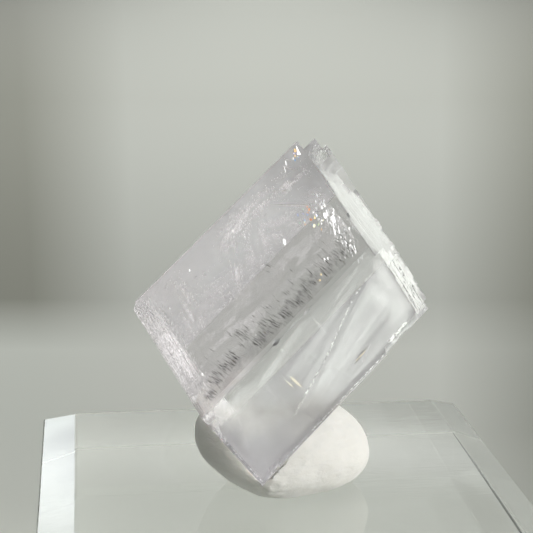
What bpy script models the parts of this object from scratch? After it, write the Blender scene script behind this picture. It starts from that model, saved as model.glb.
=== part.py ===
"""A clear calcite cleavage rhomb with rutile needles, stood on its corner in white putty on a clear block.

The block's sides lie along X and Y, its underside is at Z = 0 and its centre is over the origin.
The crystal is described in its own oblique axes, measured in millimetres from its near corner:
  u runs along the long edge, down to the lower left
  v runs along the short edge, up to the top corner
  w runs along the deep edge, back into the crystal
"""

import math

import bmesh
import bpy
from mathutils import Euler, Matrix, Vector

MM = 0.001
COLLECTION_NAME = "calcite_with_rutile"

# Display block
BLOCK_SIDE = 32.0
BLOCK_HEIGHT = 12.7
BEVEL_WIDTH = 2.5
BEVEL_DROP = 1.2

# Putty lump: its middle, its half size, how far it leans in x and y for each millimetre up
PUTTY_CENTRE = (-0.43, -2.18, 15.63)
PUTTY_HALF_SIZE = (5.72, 5.91, 3.61)
PUTTY_LEAN = (-0.34, -0.05)
# Its two-sided and three-cornered swell and the waist low on its left: how much, and where round it
OVAL_SWELL, OVAL_TURN = 0.054, -0.52
CORNER_SWELL, CORNER_TURN = 0.071, 2.34
WAIST_DEPTH, WAIST_TURN, WAIST_WIDTH = 0.287, -2.65, 0.36
PUTTY_RINGS = 24
PUTTY_SEGMENTS = 44
# The height over which the putty's side rounds into its flat foot, and how much of that is pressed flat
PUTTY_FOOT_BLEND = 0.7
PUTTY_FOOT_FLAT = 0.12

# Crystal: edge lengths, the angles between its edges, its tilt and where its tip stands
LONG_EDGE = 14.5
SHORT_EDGE = 8.9
DEEP_EDGE = 8.5
LONG_TO_SHORT_DEG = 104.2
LONG_TO_DEEP_DEG = 91.5
SHORT_TO_DEEP_DEG = 104.2
CRYSTAL_TILT_DEG = (144.6, 39.8, -160.9)
TIP = (-2.1, -8.4, 14.85)

# The crystal is parted on one cleavage plane, so that the needles' pocket is open to the parting
PARTING_DEPTH = 0.95
GAP = 0.3
LEDGE_OVERHANG = 1.4

# How far the cutters start beyond the right end, in u
OUTSIDE = 3.0

# Cleavage terraces down the right end: the u they cut back to, their v range and how deep they go in w
TERRACE_FRONT = 0.5
TERRACES = {
    "end_middle": (-1.22, (2.5, 6.0), 9.0),
    "end_low": (-1.05, (-1.0, 3.0), 9.0),
    "end_top": (-1.05, (7.9, 10.0), 3.4),
    "terrace_front": (-0.30, (-1.0, 7.2), 1.55),
    "terrace_middle": (-0.62, (0.9, 5.6), 2.5),
    "terrace_back": (-0.84, (3.3, 6.5), 3.9),
    "terrace_low": (-0.55, (-1.0, 1.3), 2.2),
    "terrace_corner": (-0.72, (-1.0, 0.6), 9.0),
}
# A low step along the back edge, the slot at the lower left corner and small nicks: u, v and w ranges
STEPS = {
    "back_step": ((-OUTSIDE, 3.2), (-1.0, 0.9), (DEEP_EDGE - 0.2, 10.0)),
    "left_slot": ((LONG_EDGE - 0.6, 16.0), (-1.0, 0.5), (0.8, 1.4)),
    "tip_nick": ((12.95, 13.2), (-1.0, 0.25), (DEEP_EDGE - 0.25, 10.0)),
    "top_nick": ((-OUTSIDE, -0.5), (8.2, 10.0), (2.9, 10.0)),
}
# Shell-shaped chips: centre in u, v and w, and radius
BODY_CHIPS = {
    "right_chip": ((1.3, -1.5, DEEP_EDGE + 0.6), 1.95),
}
PLATE_CHIPS = {
    "upper_left_chip": ((9.6, SHORT_EDGE + 0.9, -0.6), 1.25),
    "left_corner_chip": ((LONG_EDGE + 0.75, SHORT_EDGE + 0.75, -0.2), 1.25),
    "top_corner_chip": ((-0.75, SHORT_EDGE - 0.5, -0.75), 1.1),
}
CHIP_SEGMENTS = 24
CHIP_RINGS = 14

# Pocket (u, v and w ranges) and the needles in it
POCKET_U = (0.6, 13.8)
POCKET_V = (0.4, 3.7)
POCKET_W = (0.35, 1.55)
NEEDLE_ROWS = 3
NEEDLES_A_ROW = 44
NEEDLE_WIDTH = 0.055
NEEDLE_LENGTH = (0.7, 2.2)
RIB_HEIGHT = 0.16
TIP_SHARE = 0.3
# How the needles' lengths and leans vary: turn from one needle to the next, clumps a millimetre, largest lean
LENGTH_TURN = 2.399
LENGTH_SHUFFLE_TURN, LENGTH_SHUFFLE = 0.71, 1.3
CLUMP_TURN, CLUMP_SHARE = 1.9, 0.55
LEAN_TURN, LEAN_SHARE = 1.7, 0.22
GATHERING = 0.5

CRYSTAL_COLOUR = (0.86, 0.85, 0.88)
RUTILE_COLOUR = (0.09, 0.075, 0.07)
PUTTY_COLOUR = (0.86, 0.85, 0.81)
ACRYLIC_COLOUR = (0.93, 0.95, 0.93)


def clear_scene():
    for obj in list(bpy.data.objects):
        bpy.data.objects.remove(obj, do_unlink=True)


def new_collection(name, hidden=False):
    collection = bpy.data.collections.new(name)
    bpy.context.scene.collection.children.link(collection)
    collection.hide_render = hidden
    return collection


def material(name, colour, roughness, alpha=1.0, transmission=0.0, ior=1.5):
    made = bpy.data.materials.new(name)
    made.use_nodes = True
    shader = made.node_tree.nodes["Principled BSDF"]
    shader.inputs["Base Color"].default_value = (*colour, 1.0)
    shader.inputs["Roughness"].default_value = roughness
    shader.inputs["Metallic"].default_value = 0.0
    shader.inputs["Alpha"].default_value = alpha
    shader.inputs["Transmission Weight"].default_value = transmission
    shader.inputs["IOR"].default_value = ior
    return made


def object_from(bm, name, collection, made_of=None):
    """Writes the bmesh, which is in millimetres, to a new object in metres."""
    bmesh.ops.scale(bm, vec=(MM, MM, MM), verts=bm.verts)
    bmesh.ops.recalc_face_normals(bm, faces=bm.faces)
    mesh = bpy.data.meshes.new(name)
    bm.to_mesh(mesh)
    bm.free()
    obj = bpy.data.objects.new(name, mesh)
    collection.objects.link(obj)
    if made_of:
        mesh.materials.append(made_of)
    return obj


def cut(obj, cutter):
    cutter.hide_render = True
    cutter.display_type = "WIRE"
    modifier = obj.modifiers.new("Cut " + cutter.name, "BOOLEAN")
    modifier.operation = "DIFFERENCE"
    modifier.solver = "EXACT"
    modifier.object = cutter


def crystal_axes():
    """The world directions of the three edges that meet at the crystal's near corner."""
    long_short = math.radians(LONG_TO_SHORT_DEG)
    long_deep = math.radians(LONG_TO_DEEP_DEG)
    short_deep = math.radians(SHORT_TO_DEEP_DEG)
    along = Vector((1.0, 0.0, 0.0))
    up = Vector((math.cos(long_short), math.sin(long_short), 0.0))
    deep_x = math.cos(long_deep)
    deep_y = (math.cos(short_deep) - math.cos(long_short) * deep_x) / math.sin(long_short)
    deep = Vector((deep_x, deep_y, math.sqrt(1.0 - deep_x**2 - deep_y**2)))
    tilt = Euler([math.radians(angle) for angle in CRYSTAL_TILT_DEG]).to_matrix()
    return tilt @ along, tilt @ up, tilt @ deep


AXIS_U, AXIS_V, AXIS_W = crystal_axes()
NEAR_CORNER = Vector(TIP) - LONG_EDGE * AXIS_U - DEEP_EDGE * AXIS_W
OBLIQUE = Matrix.Translation(NEAR_CORNER) @ Matrix((AXIS_U, AXIS_V, AXIS_W)).transposed().to_4x4()


def oblique_box(bm, u, v, w):
    """A cube primitive sheared to the cleavage: its faces lie on three cleavage planes."""
    centre = Matrix.Translation(((u[0] + u[1]) / 2, (v[0] + v[1]) / 2, (w[0] + w[1]) / 2))
    size = Matrix.Diagonal((u[1] - u[0], v[1] - v[0], w[1] - w[0], 1.0))
    return bmesh.ops.create_cube(bm, size=1.0, matrix=OBLIQUE @ centre @ size)


def cleavage_cutter(name, u, v, w, cutters):
    bm = bmesh.new()
    oblique_box(bm, u, v, w)
    return object_from(bm, name, cutters)


def chip_cutter(name, at, radius, cutters):
    """A ball centred just outside a face, which leaves a shell-shaped chip."""
    bm = bmesh.new()
    bmesh.ops.create_uvsphere(bm, u_segments=CHIP_SEGMENTS, v_segments=CHIP_RINGS, radius=radius)
    bmesh.ops.translate(bm, vec=OBLIQUE @ Vector(at), verts=bm.verts)
    return object_from(bm, name, cutters)


def build_block(parts):
    """A square block whose top edge has a wide, shallow bevel."""
    bm = bmesh.new()
    wall_height = BLOCK_HEIGHT - BEVEL_DROP
    stretch = Matrix.Diagonal((BLOCK_SIDE, BLOCK_SIDE, wall_height, 1.0))
    bmesh.ops.create_cube(bm, size=1.0, matrix=Matrix.Translation((0, 0, wall_height / 2)) @ stretch)
    top = [face for face in bm.faces if face.calc_center_median().z > wall_height - 0.01]
    raised = bmesh.ops.extrude_face_region(bm, geom=top)
    bmesh.ops.delete(bm, geom=top, context="FACES_ONLY")
    corners = [item for item in raised["geom"] if isinstance(item, bmesh.types.BMVert)]
    narrowing = (BLOCK_SIDE - 2 * BEVEL_WIDTH) / BLOCK_SIDE
    bmesh.ops.scale(bm, vec=(narrowing, narrowing, 1.0), verts=corners)
    bmesh.ops.translate(bm, vec=(0, 0, BEVEL_DROP), verts=corners)
    acrylic = material("clear_acrylic", ACRYLIC_COLOUR, 0.02, alpha=0.35, transmission=1.0, ior=1.49)
    return object_from(bm, "display_block", parts, acrylic)


def putty_swell(x, y, z):
    """How far the hand-pressed putty stands in or out from an even ball, for a direction from its centre."""
    turn = math.atan2(y, x)
    swell = OVAL_SWELL * math.sin(2.0 * turn + OVAL_TURN) + CORNER_SWELL * math.sin(3.0 * turn + CORNER_TURN)
    low = ((1.0 - z) / 2.0) ** 2
    waist = WAIST_DEPTH * low * math.exp((math.cos(turn - WAIST_TURN) - 1.0) / WAIST_WIDTH**2)
    return 1.0 + swell * math.hypot(x, y) - waist


def putty_place(direction):
    """The point of the lump's outside that lies in a direction from its middle, before it is set down."""
    swell = putty_swell(*direction)
    offset = Vector([share * swell * half for share, half in zip(direction, PUTTY_HALF_SIZE)])
    offset.x += PUTTY_LEAN[0] * offset.z
    offset.y += PUTTY_LEAN[1] * offset.z
    return Vector(PUTTY_CENTRE) + offset


def build_putty(parts, cutters):
    """A hand-rolled lump pressed flat under the crystal, with the crystal's own shape pushed out of it."""
    bm = bmesh.new()
    bmesh.ops.create_uvsphere(bm, u_segments=PUTTY_SEGMENTS, v_segments=PUTTY_RINGS, radius=1.0)
    foot = BLOCK_HEIGHT + GAP
    for vert in bm.verts:
        place = putty_place(vert.co)
        over_foot = place.z - foot
        if over_foot < PUTTY_FOOT_BLEND:
            sunk = (PUTTY_FOOT_BLEND - over_foot) / PUTTY_FOOT_BLEND
            place.z = foot + PUTTY_FOOT_BLEND / (1.0 + sunk + sunk**2)
        vert.co = place
    flat = [vert for vert in bm.verts if vert.co.z < foot + PUTTY_FOOT_FLAT]
    for vert in flat:
        vert.co.z = foot
    white = material("white_putty", PUTTY_COLOUR, roughness=0.75)
    putty = object_from(bm, "mounting_putty", parts, white)
    putty.data.shade_smooth()
    print_of_crystal = cleavage_cutter(
        "putty_print",
        (-LEDGE_OVERHANG - GAP, LONG_EDGE + GAP),
        (-GAP, SHORT_EDGE + GAP),
        (-GAP, DEEP_EDGE + GAP),
        cutters,
    )
    cut(putty, print_of_crystal)
    return putty


def build_crystal(parts, cutters):
    """The two halves of the rhomb: a thin plate in front of the parting and the body behind it."""
    calcite = material("clear_calcite", CRYSTAL_COLOUR, 0.05, alpha=0.35, transmission=1.0, ior=1.65)

    bm = bmesh.new()
    oblique_box(bm, (0.0, LONG_EDGE), (0.0, SHORT_EDGE), (0.0, PARTING_DEPTH - GAP / 2))
    plate = object_from(bm, "calcite_plate", parts, calcite)

    bm = bmesh.new()
    oblique_box(bm, (-LEDGE_OVERHANG, LONG_EDGE), (0.0, SHORT_EDGE), (PARTING_DEPTH + GAP / 2, DEEP_EDGE))
    body = object_from(bm, "calcite_body", parts, calcite)

    pocket = cleavage_cutter("needle_pocket", POCKET_U, POCKET_V, POCKET_W, cutters)
    for half in (plate, body):
        cut(half, pocket)

    for name, (keep_u, v, depth) in TERRACES.items():
        cut(body, cleavage_cutter(name, (-OUTSIDE, keep_u), v, (TERRACE_FRONT, depth), cutters))
    for name, (u, v, w) in STEPS.items():
        cut(body, cleavage_cutter(name, u, v, w, cutters))
    for half, half_chips in ((body, BODY_CHIPS), (plate, PLATE_CHIPS)):
        for name, (at, radius) in half_chips.items():
            cut(half, chip_cutter(name, at, radius, cutters))
    return plate, body


def build_needles(parts):
    """Rutile needles in rows along a thin rib, each drawn out of the rib's own faces to a fine tip."""
    inset = GAP
    u_low, u_high = POCKET_U[0] + inset, POCKET_U[1] - inset
    v_low = POCKET_V[0] + inset
    w_low, w_high = POCKET_W[0] + inset, POCKET_W[1] - inset
    bm = bmesh.new()
    bmesh.ops.create_grid(bm, x_segments=NEEDLES_A_ROW, y_segments=NEEDLE_ROWS, size=0.5)
    rib = bmesh.ops.extrude_face_region(bm, geom=bm.faces[:])
    upper = [item for item in rib["geom"] if isinstance(item, bmesh.types.BMFace)]
    raised = {vert for face in upper for vert in face.verts}
    bmesh.ops.translate(bm, vec=(0, 0, 1.0), verts=list(raised))
    # The grid's x, y and height become the crystal's u, w and v
    for vert in bm.verts:
        x, y, height = vert.co
        vert.co = (
            u_low + (x + 0.5) * (u_high - u_low),
            v_low + height * RIB_HEIGHT,
            w_low + (y + 0.5) * (w_high - w_low),
        )
    bm.normal_update()
    bmesh.ops.inset_individual(bm, faces=upper, thickness=NEEDLE_WIDTH, use_even_offset=True)
    tips = bmesh.ops.extrude_discrete_faces(bm, faces=upper)["faces"]
    shortest, longest = NEEDLE_LENGTH
    middle_w = (w_low + w_high) / 2
    for number, tip in enumerate(tips):
        root = tip.calc_center_median()
        shuffle = LENGTH_SHUFFLE * math.sin(number * LENGTH_SHUFFLE_TURN)
        share = 0.5 + 0.5 * math.sin(number * LENGTH_TURN + shuffle)
        clump = 0.5 + 0.5 * math.sin(root.x * CLUMP_TURN)
        length = shortest + (longest - shortest) * share * (1.0 - CLUMP_SHARE + CLUMP_SHARE * clump)
        lean = LEAN_SHARE * length * math.sin(number * LEAN_TURN)
        head = root + Vector((lean, length, (middle_w - root.z) * GATHERING))
        head.x = min(max(head.x, u_low + NEEDLE_WIDTH), u_high - NEEDLE_WIDTH)
        for vert in tip.verts:
            vert.co = head + TIP_SHARE * (vert.co - root)
    bmesh.ops.transform(bm, matrix=OBLIQUE, verts=bm.verts)
    dark = material("dark_rutile", RUTILE_COLOUR, roughness=0.25)
    return object_from(bm, "rutile_needles", parts, dark)


def main():
    clear_scene()
    parts = new_collection(COLLECTION_NAME)
    cutters = new_collection("cutters", hidden=True)
    build_block(parts)
    build_putty(parts, cutters)
    build_crystal(parts, cutters)
    build_needles(parts)


main()
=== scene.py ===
"""Looks for a clear calcite cleavage rhomb with a band of rutile needles, in white putty on a clear block.

The frame is in metres. Shapes are worked out in millimetres and scaled once, when a piece is made.
The crystal is described in its own oblique directions, measured from its near corner:
  u runs along the long edge, down to the lower left
  v runs along the short edge, up to the top corner
  w runs along the deep edge, back into the crystal
"""
import math
import random

import bmesh
import bpy
from mathutils import Euler, Matrix, Vector, noise


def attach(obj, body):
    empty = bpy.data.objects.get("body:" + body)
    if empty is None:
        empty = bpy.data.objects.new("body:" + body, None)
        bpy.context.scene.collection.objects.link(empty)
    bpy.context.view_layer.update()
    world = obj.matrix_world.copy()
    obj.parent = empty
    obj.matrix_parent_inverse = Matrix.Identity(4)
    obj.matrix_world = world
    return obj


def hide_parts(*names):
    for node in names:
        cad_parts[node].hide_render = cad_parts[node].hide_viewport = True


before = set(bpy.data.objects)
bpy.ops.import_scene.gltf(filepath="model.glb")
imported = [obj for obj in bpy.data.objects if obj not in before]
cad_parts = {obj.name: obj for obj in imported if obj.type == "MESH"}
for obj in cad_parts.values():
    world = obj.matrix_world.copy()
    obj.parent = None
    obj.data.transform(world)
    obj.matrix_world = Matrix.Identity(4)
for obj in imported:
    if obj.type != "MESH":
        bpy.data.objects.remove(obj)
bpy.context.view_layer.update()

bl_info = {
    "name": "Calcite with Rutile Specimen",
    "version": (1, 0, 0),
    "blender": (4, 5, 0),
    "location": "View3D > Sidebar > Specimen",
    "description": "Builds a clear calcite rhomb with rutile needles, its putty, its display block and a plain stage",
    "category": "Object",
}

MM = 0.001
BODY = "root"

# The crystal's edges and angles, its tilt, and where its tip stands
LONG_EDGE = 14.5
SHORT_EDGE = 8.9
DEEP_EDGE = 8.5
LONG_TO_SHORT_DEG = 104.2
LONG_TO_DEEP_DEG = 91.5
SHORT_TO_DEEP_DEG = 104.2
CRYSTAL_TILT_DEG = (144.6, 39.8, -160.9)
TIP = (-2.1, -8.4, 14.85)
LEDGE_OVERHANG = 1.4
LEDGE_DEPTH = 0.95

# The putty lump
PUTTY_CENTRE = (-0.43, -2.18, 15.63)
PUTTY_HALF_SIZE = (5.72, 5.91, 3.61)
# How far it leans in x and y for each millimetre up
PUTTY_LEAN = (-0.34, -0.05)
# Its two-sided and three-cornered swell and the waist low on its left: how much, and where in radians round it
OVAL_SWELL, OVAL_TURN = 0.054, -0.52
CORNER_SWELL, CORNER_TURN = 0.071, 2.34
WAIST_DEPTH, WAIST_TURN, WAIST_WIDTH = 0.287, -2.65, 0.36

# The display block
BLOCK_SIDE = 32.0
BLOCK_HEIGHT = 12.7
BEVEL_WIDTH = 2.5
BEVEL_DROP = 1.2


def crystal_axes():
    """The directions of the three edges that meet at the crystal's near corner."""
    long_short = math.radians(LONG_TO_SHORT_DEG)
    long_deep = math.radians(LONG_TO_DEEP_DEG)
    short_deep = math.radians(SHORT_TO_DEEP_DEG)
    along = Vector((1.0, 0.0, 0.0))
    up = Vector((math.cos(long_short), math.sin(long_short), 0.0))
    deep_x = math.cos(long_deep)
    deep_y = (math.cos(short_deep) - math.cos(long_short) * deep_x) / math.sin(long_short)
    deep = Vector((deep_x, deep_y, math.sqrt(1.0 - deep_x**2 - deep_y**2)))
    tilt = Euler([math.radians(angle) for angle in CRYSTAL_TILT_DEG]).to_matrix()
    return tilt @ along, tilt @ up, tilt @ deep


AXIS_U, AXIS_V, AXIS_W = crystal_axes()
NEAR_CORNER = Vector(TIP) - LONG_EDGE * AXIS_U - DEEP_EDGE * AXIS_W
OBLIQUE = Matrix.Translation(NEAR_CORNER) @ Matrix((AXIS_U, AXIS_V, AXIS_W)).transposed().to_4x4()
TO_LATTICE = OBLIQUE.inverted()
FRONT_NORMAL = AXIS_U.cross(AXIS_V).normalized()
LOWER_NORMAL = AXIS_U.cross(AXIS_W).normalized()
END_NORMAL = AXIS_V.cross(AXIS_W).normalized()
GLINT = Vector((0.45, -0.83, 0.33))
LOWER_GLINT = Vector((0.59, -0.80, 0.11))
LEDGE_GLINT = Vector((0.70, -0.65, 0.29))


def direction_to(azimuth_deg, elevation_deg):
    """A direction from the specimen: azimuth 0 is +Y and 90 is +X."""
    azimuth, elevation = math.radians(azimuth_deg), math.radians(elevation_deg)
    level = math.cos(elevation)
    return Vector((math.sin(azimuth) * level, math.cos(azimuth) * level, math.sin(elevation)))


# ---------------------------------------------------------------- making pieces


def new_piece(name, bm, materials, slot=None, smooth=False):
    """Writes the bmesh, in millimetres, to an object in metres; given a slot, the object rides on the body."""
    bmesh.ops.scale(bm, vec=(MM, MM, MM), verts=bm.verts)
    bmesh.ops.recalc_face_normals(bm, faces=bm.faces)
    mesh = bpy.data.meshes.new(name)
    bm.to_mesh(mesh)
    bm.free()
    for made in materials:
        mesh.materials.append(made)
    if smooth:
        mesh.shade_smooth()
    piece = bpy.data.objects.new(name, mesh)
    bpy.context.scene.collection.objects.link(piece)
    if slot:
        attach(piece, BODY)
    return piece


def bake_modifiers(piece):
    """Turns what the modifiers make into the piece's own mesh."""
    depsgraph = bpy.context.evaluated_depsgraph_get()
    finished = bpy.data.meshes.new_from_object(piece.evaluated_get(depsgraph))
    piece.modifiers.clear()
    before = piece.data
    piece.data = finished
    bpy.data.meshes.remove(before)


def carve(piece, cutters):
    """Cuts each cutter out of the piece and removes the cutters."""
    for cutter in cutters:
        modifier = piece.modifiers.new("Carve " + cutter.name, "BOOLEAN")
        modifier.operation = "DIFFERENCE"
        modifier.solver = "EXACT"
        modifier.object = cutter
    bake_modifiers(piece)
    if not piece.data.polygons:
        raise RuntimeError(f"{piece.name} was cut away")
    for cutter in cutters:
        mesh = cutter.data
        bpy.data.objects.remove(cutter)
        bpy.data.meshes.remove(mesh)


def oblique_box(bm, u, v, w):
    """A cube sheared to the cleavage, so that its faces lie on three cleavage planes."""
    centre = Matrix.Translation(((u[0] + u[1]) / 2, (v[0] + v[1]) / 2, (w[0] + w[1]) / 2))
    size = Matrix.Diagonal((u[1] - u[0], v[1] - v[0], w[1] - w[0], 1.0))
    bmesh.ops.create_cube(bm, size=1.0, matrix=OBLIQUE @ centre @ size)


def cleavage_cutter(name, u, v, w):
    bm = bmesh.new()
    oblique_box(bm, u, v, w)
    return new_piece(name, bm, [])


def shell_cutter(name, at, radius, seed, ripple=0.06):
    """A slightly rippled ball, centred near a face, that leaves a shell-shaped chip."""
    bm = bmesh.new()
    bmesh.ops.create_icosphere(bm, subdivisions=3, radius=1.0)
    centre = OBLIQUE @ Vector(at)
    for vert in bm.verts:
        swell = 1.0 + ripple * noise.noise(vert.co * 3.1 + Vector((seed, 0, 0)))
        vert.co = centre + vert.co * radius * swell
    return new_piece(name, bm, [])


def ragged_plate(bm, at, along, across, half_size, thickness, seed, corners=16, raggedness=0.35):
    """A thin closed plate with a ragged outline, lying along two directions from a centre."""
    up = along.cross(across).normalized() * thickness
    lower, upper = [], []
    for number in range(corners):
        turn = 2.0 * math.pi * number / corners
        x, y = math.cos(turn), math.sin(turn)
        reach = 1.0 + raggedness * 2.0 * noise.noise(Vector((x * 1.6, y * 1.6, seed * 5.7)))
        place = at + along * (x * reach * half_size[0]) + across * (y * reach * half_size[1])
        lower.append(bm.verts.new(place))
        upper.append(bm.verts.new(place + up))
    bm.faces.new(lower[::-1])
    bm.faces.new(upper)
    for number in range(corners):
        after = (number + 1) % corners
        bm.faces.new((lower[number], lower[after], upper[after], upper[number]))


# ---------------------------------------------------------------- materials


def node(tree, kind, inputs=None, **settings):
    """Adds a shader node. An input is a plain value, or another node's output to link."""
    made = tree.nodes.new(kind)
    for name, value in settings.items():
        setattr(made, name, value)
    for name, value in (inputs or {}).items():
        if isinstance(value, bpy.types.NodeSocket):
            tree.links.new(value, made.inputs[name])
        else:
            made.inputs[name].default_value = value
    return made


def maths(tree, operation, first, second=0.0):
    return node(tree, "ShaderNodeMath", {0: first, 1: second}, operation=operation).outputs[0]


def position(tree):
    """The place on the object, in millimetres."""
    spot = node(tree, "ShaderNodeTexCoord").outputs["Object"]
    return node(tree, "ShaderNodeVectorMath", {0: spot, "Scale": 1.0 / MM}, operation="SCALE").outputs[0]


def lattice_position(tree):
    """The place in the crystal's own directions u, v and w, in millimetres."""
    spot = position(tree)
    parts = []
    for row in range(3):
        weights = TO_LATTICE[row]
        dot = node(tree, "ShaderNodeVectorMath", {0: spot, 1: weights[:3]}, operation="DOT_PRODUCT")
        parts.append(maths(tree, "ADD", dot.outputs["Value"], weights[3]))
    return node(tree, "ShaderNodeCombineXYZ", {"X": parts[0], "Y": parts[1], "Z": parts[2]}).outputs[0]


def stretched(tree, spot, scale):
    return node(tree, "ShaderNodeVectorMath", {0: spot, 1: scale}, operation="MULTIPLY").outputs[0]


def cloud(tree, spot, scale, detail=3.0, roughness=0.55, distortion=0.0):
    values = {
        "Vector": spot,
        "Scale": scale,
        "Detail": detail,
        "Roughness": roughness,
        "Distortion": distortion,
    }
    return node(tree, "ShaderNodeTexNoise", values).outputs["Fac"]


def spread(tree, value, low, high, to_low=0.0, to_high=1.0):
    """Maps a range to another and keeps the result inside it."""
    values = {"Value": value, "From Min": low, "From Max": high, "To Min": to_low, "To Max": to_high}
    return node(tree, "ShaderNodeMapRange", values).outputs["Result"]


def blended(tree, share, first, second):
    values = {0: share, 6: first, 7: second}
    return node(tree, "ShaderNodeMix", values, data_type="RGBA").outputs[2]


def bumped(tree, height, strength, distance):
    values = {"Height": height, "Strength": strength, "Distance": distance}
    return node(tree, "ShaderNodeBump", values).outputs["Normal"]


def new_material(name):
    """A material with its Principled shader and its output."""
    made = bpy.data.materials.new(name)
    made.use_nodes = True
    tree = made.node_tree
    return made, tree, tree.nodes["Principled BSDF"], tree.nodes["Material Output"]


def link(tree, value, socket):
    tree.links.new(value, socket)


def absorb(tree, output, settings):
    """Light is lost evenly inside the crystal."""
    volume = node(tree, "ShaderNodeVolumeAbsorption")
    volume.inputs["Color"].default_value = (*settings.inner_colour, 1.0)
    volume.inputs["Density"].default_value = settings.inner_density
    link(tree, volume.outputs["Volume"], output.inputs["Volume"])


# The painted shade towards the tip, which darkens the lower face where it looks onto the putty: the way it deepens in
# u, v and w, how far its rim wavers, and where it begins and deepens
TIP_SHADE_WAY = (1.15, 0.0, 0.84)
TIP_SHADE_WAVERING = 5.0
TIP_SHADE_BEGINS = (16.6, 18.6)
TIP_SHADE_DEEPENS = (18.4, 22.0)


def clear_calcite(settings):
    """Clean cleavage faces: water-clear, faintly lilac above and faintly green below, with fine steps, and painted
    shade on the lower face towards the tip.
    """
    made, tree, shader, output = new_material("clear_calcite")
    spot = lattice_position(tree)
    parts = node(tree, "ShaderNodeSeparateXYZ", {0: spot})
    steps = cloud(tree, stretched(tree, spot, (0.25, 3.0, 3.0)), 1.6, detail=5.0, roughness=0.6)
    patches = cloud(tree, spot, 0.55, detail=4.0)
    untinted = (1.0, 1.0, 1.0, 1.0)
    upper = blended(tree, spread(tree, patches, 0.35, 0.7), (*settings.upper_tint, 1.0), untinted)
    lower = blended(tree, spread(tree, patches, 0.3, 0.65), (*settings.lower_tint, 1.0), untinted)
    # Painted shade: the lower face darkens towards the tip, where it looks onto the putty
    downward = node(tree, "ShaderNodeVectorMath", {0: spot, 1: TIP_SHADE_WAY}, operation="DOT_PRODUCT")
    wavering = maths(tree, "MULTIPLY", cloud(tree, spot, 0.6, detail=5.0), TIP_SHADE_WAVERING)
    fall = maths(tree, "ADD", downward.outputs["Value"], wavering)
    lower = blended(tree, spread(tree, fall, *TIP_SHADE_BEGINS), lower, (*settings.painted_shade_rim, 1.0))
    lower = blended(tree, spread(tree, fall, *TIP_SHADE_DEEPENS), lower, (*settings.painted_shade_tip, 1.0))
    on_lower = spread(tree, parts.outputs["Y"], 0.06, 0.02)
    link(tree, blended(tree, on_lower, upper, lower), shader.inputs["Base Color"])
    haze = spread(tree, patches, 0.5, 0.75, 0.0, settings.face_haze)
    on_back = maths(
        tree,
        "MAXIMUM",
        spread(tree, parts.outputs["Y"], SHORT_EDGE - 0.12, SHORT_EDGE - 0.04),
        spread(tree, parts.outputs["Z"], DEEP_EDGE - 0.12, DEEP_EDGE - 0.04),
    )
    etching = spread(tree, patches, 0.3, 0.7, 0.75 * settings.back_haze, settings.back_haze)
    etched = maths(tree, "MULTIPLY", on_back, etching)
    link(tree, maths(tree, "MAXIMUM", haze, etched), shader.inputs["Roughness"])
    link(tree, bumped(tree, steps, 0.25, 0.00002), shader.inputs["Normal"])
    shader.inputs["Transmission Weight"].default_value = 1.0
    shader.inputs["IOR"].default_value = settings.ior
    absorb(tree, output, settings)
    return made


# Where the frosting sets in and is full: down the right end in v, and on the left end in w and, at its foot,
# in v. The last three say how it thins out in v at the left end's head, down to what share, and where in u
# the left end begins.
RIGHT_FROST_V = (8.8, 6.4)
LEFT_FROST_W = (3.4, 0.4)
LEFT_FOOT_V = (0.2, 3.0)
LEFT_HEAD_V = (5.0, 8.4)
LEFT_HEAD_SHARE = 0.3
LEFT_FROM_U = (6.0, 8.0)


def frosted_calcite(settings):
    """Broken and stepped faces: white where they are rough, greyer and clearer towards the top corner."""
    made, tree, shader, output = new_material("frosted_calcite")
    spot = lattice_position(tree)
    parts = node(tree, "ShaderNodeSeparateXYZ", {0: spot})
    grain = cloud(tree, stretched(tree, spot, (4.0, 1.0, 2.5)), 2.4, detail=6.0, roughness=0.7)
    broad = cloud(tree, spot, 0.7, detail=3.0)
    right_frost = spread(tree, parts.outputs["Y"], *RIGHT_FROST_V)
    foot = spread(tree, parts.outputs["Y"], *LEFT_FOOT_V)
    head = spread(tree, parts.outputs["Y"], *LEFT_HEAD_V, 1.0, LEFT_HEAD_SHARE)
    left_frost = maths(tree, "MULTIPLY", spread(tree, parts.outputs["Z"], *LEFT_FROST_W), foot)
    left_frost = maths(tree, "MULTIPLY", left_frost, head)
    on_left = spread(tree, parts.outputs["X"], *LEFT_FROM_U)
    side = node(tree, "ShaderNodeMix", {0: on_left, 2: right_frost, 3: left_frost}, data_type="FLOAT").outputs[0]
    frost = maths(tree, "MULTIPLY", side, spread(tree, broad, 0.25, 0.55, 0.6, 1.0))
    rough = maths(tree, "MULTIPLY", frost, spread(tree, grain, 0.3, 0.7, 0.6, 1.0))
    link(tree, spread(tree, rough, 0.0, 1.0, 0.05, settings.frost_roughness), shader.inputs["Roughness"])
    white = blended(tree, grain, (0.95, 0.96, 0.95, 1.0), (1.0, 1.0, 1.0, 1.0))
    link(tree, white, shader.inputs["Base Color"])
    link(tree, bumped(tree, grain, 0.5, 0.00005), shader.inputs["Normal"])
    clearness = spread(tree, frost, 0.0, 1.0, 1.0, settings.frost_clearness)
    link(tree, clearness, shader.inputs["Transmission Weight"])
    shader.inputs["IOR"].default_value = settings.ior
    absorb(tree, output, settings)
    return made


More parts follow.
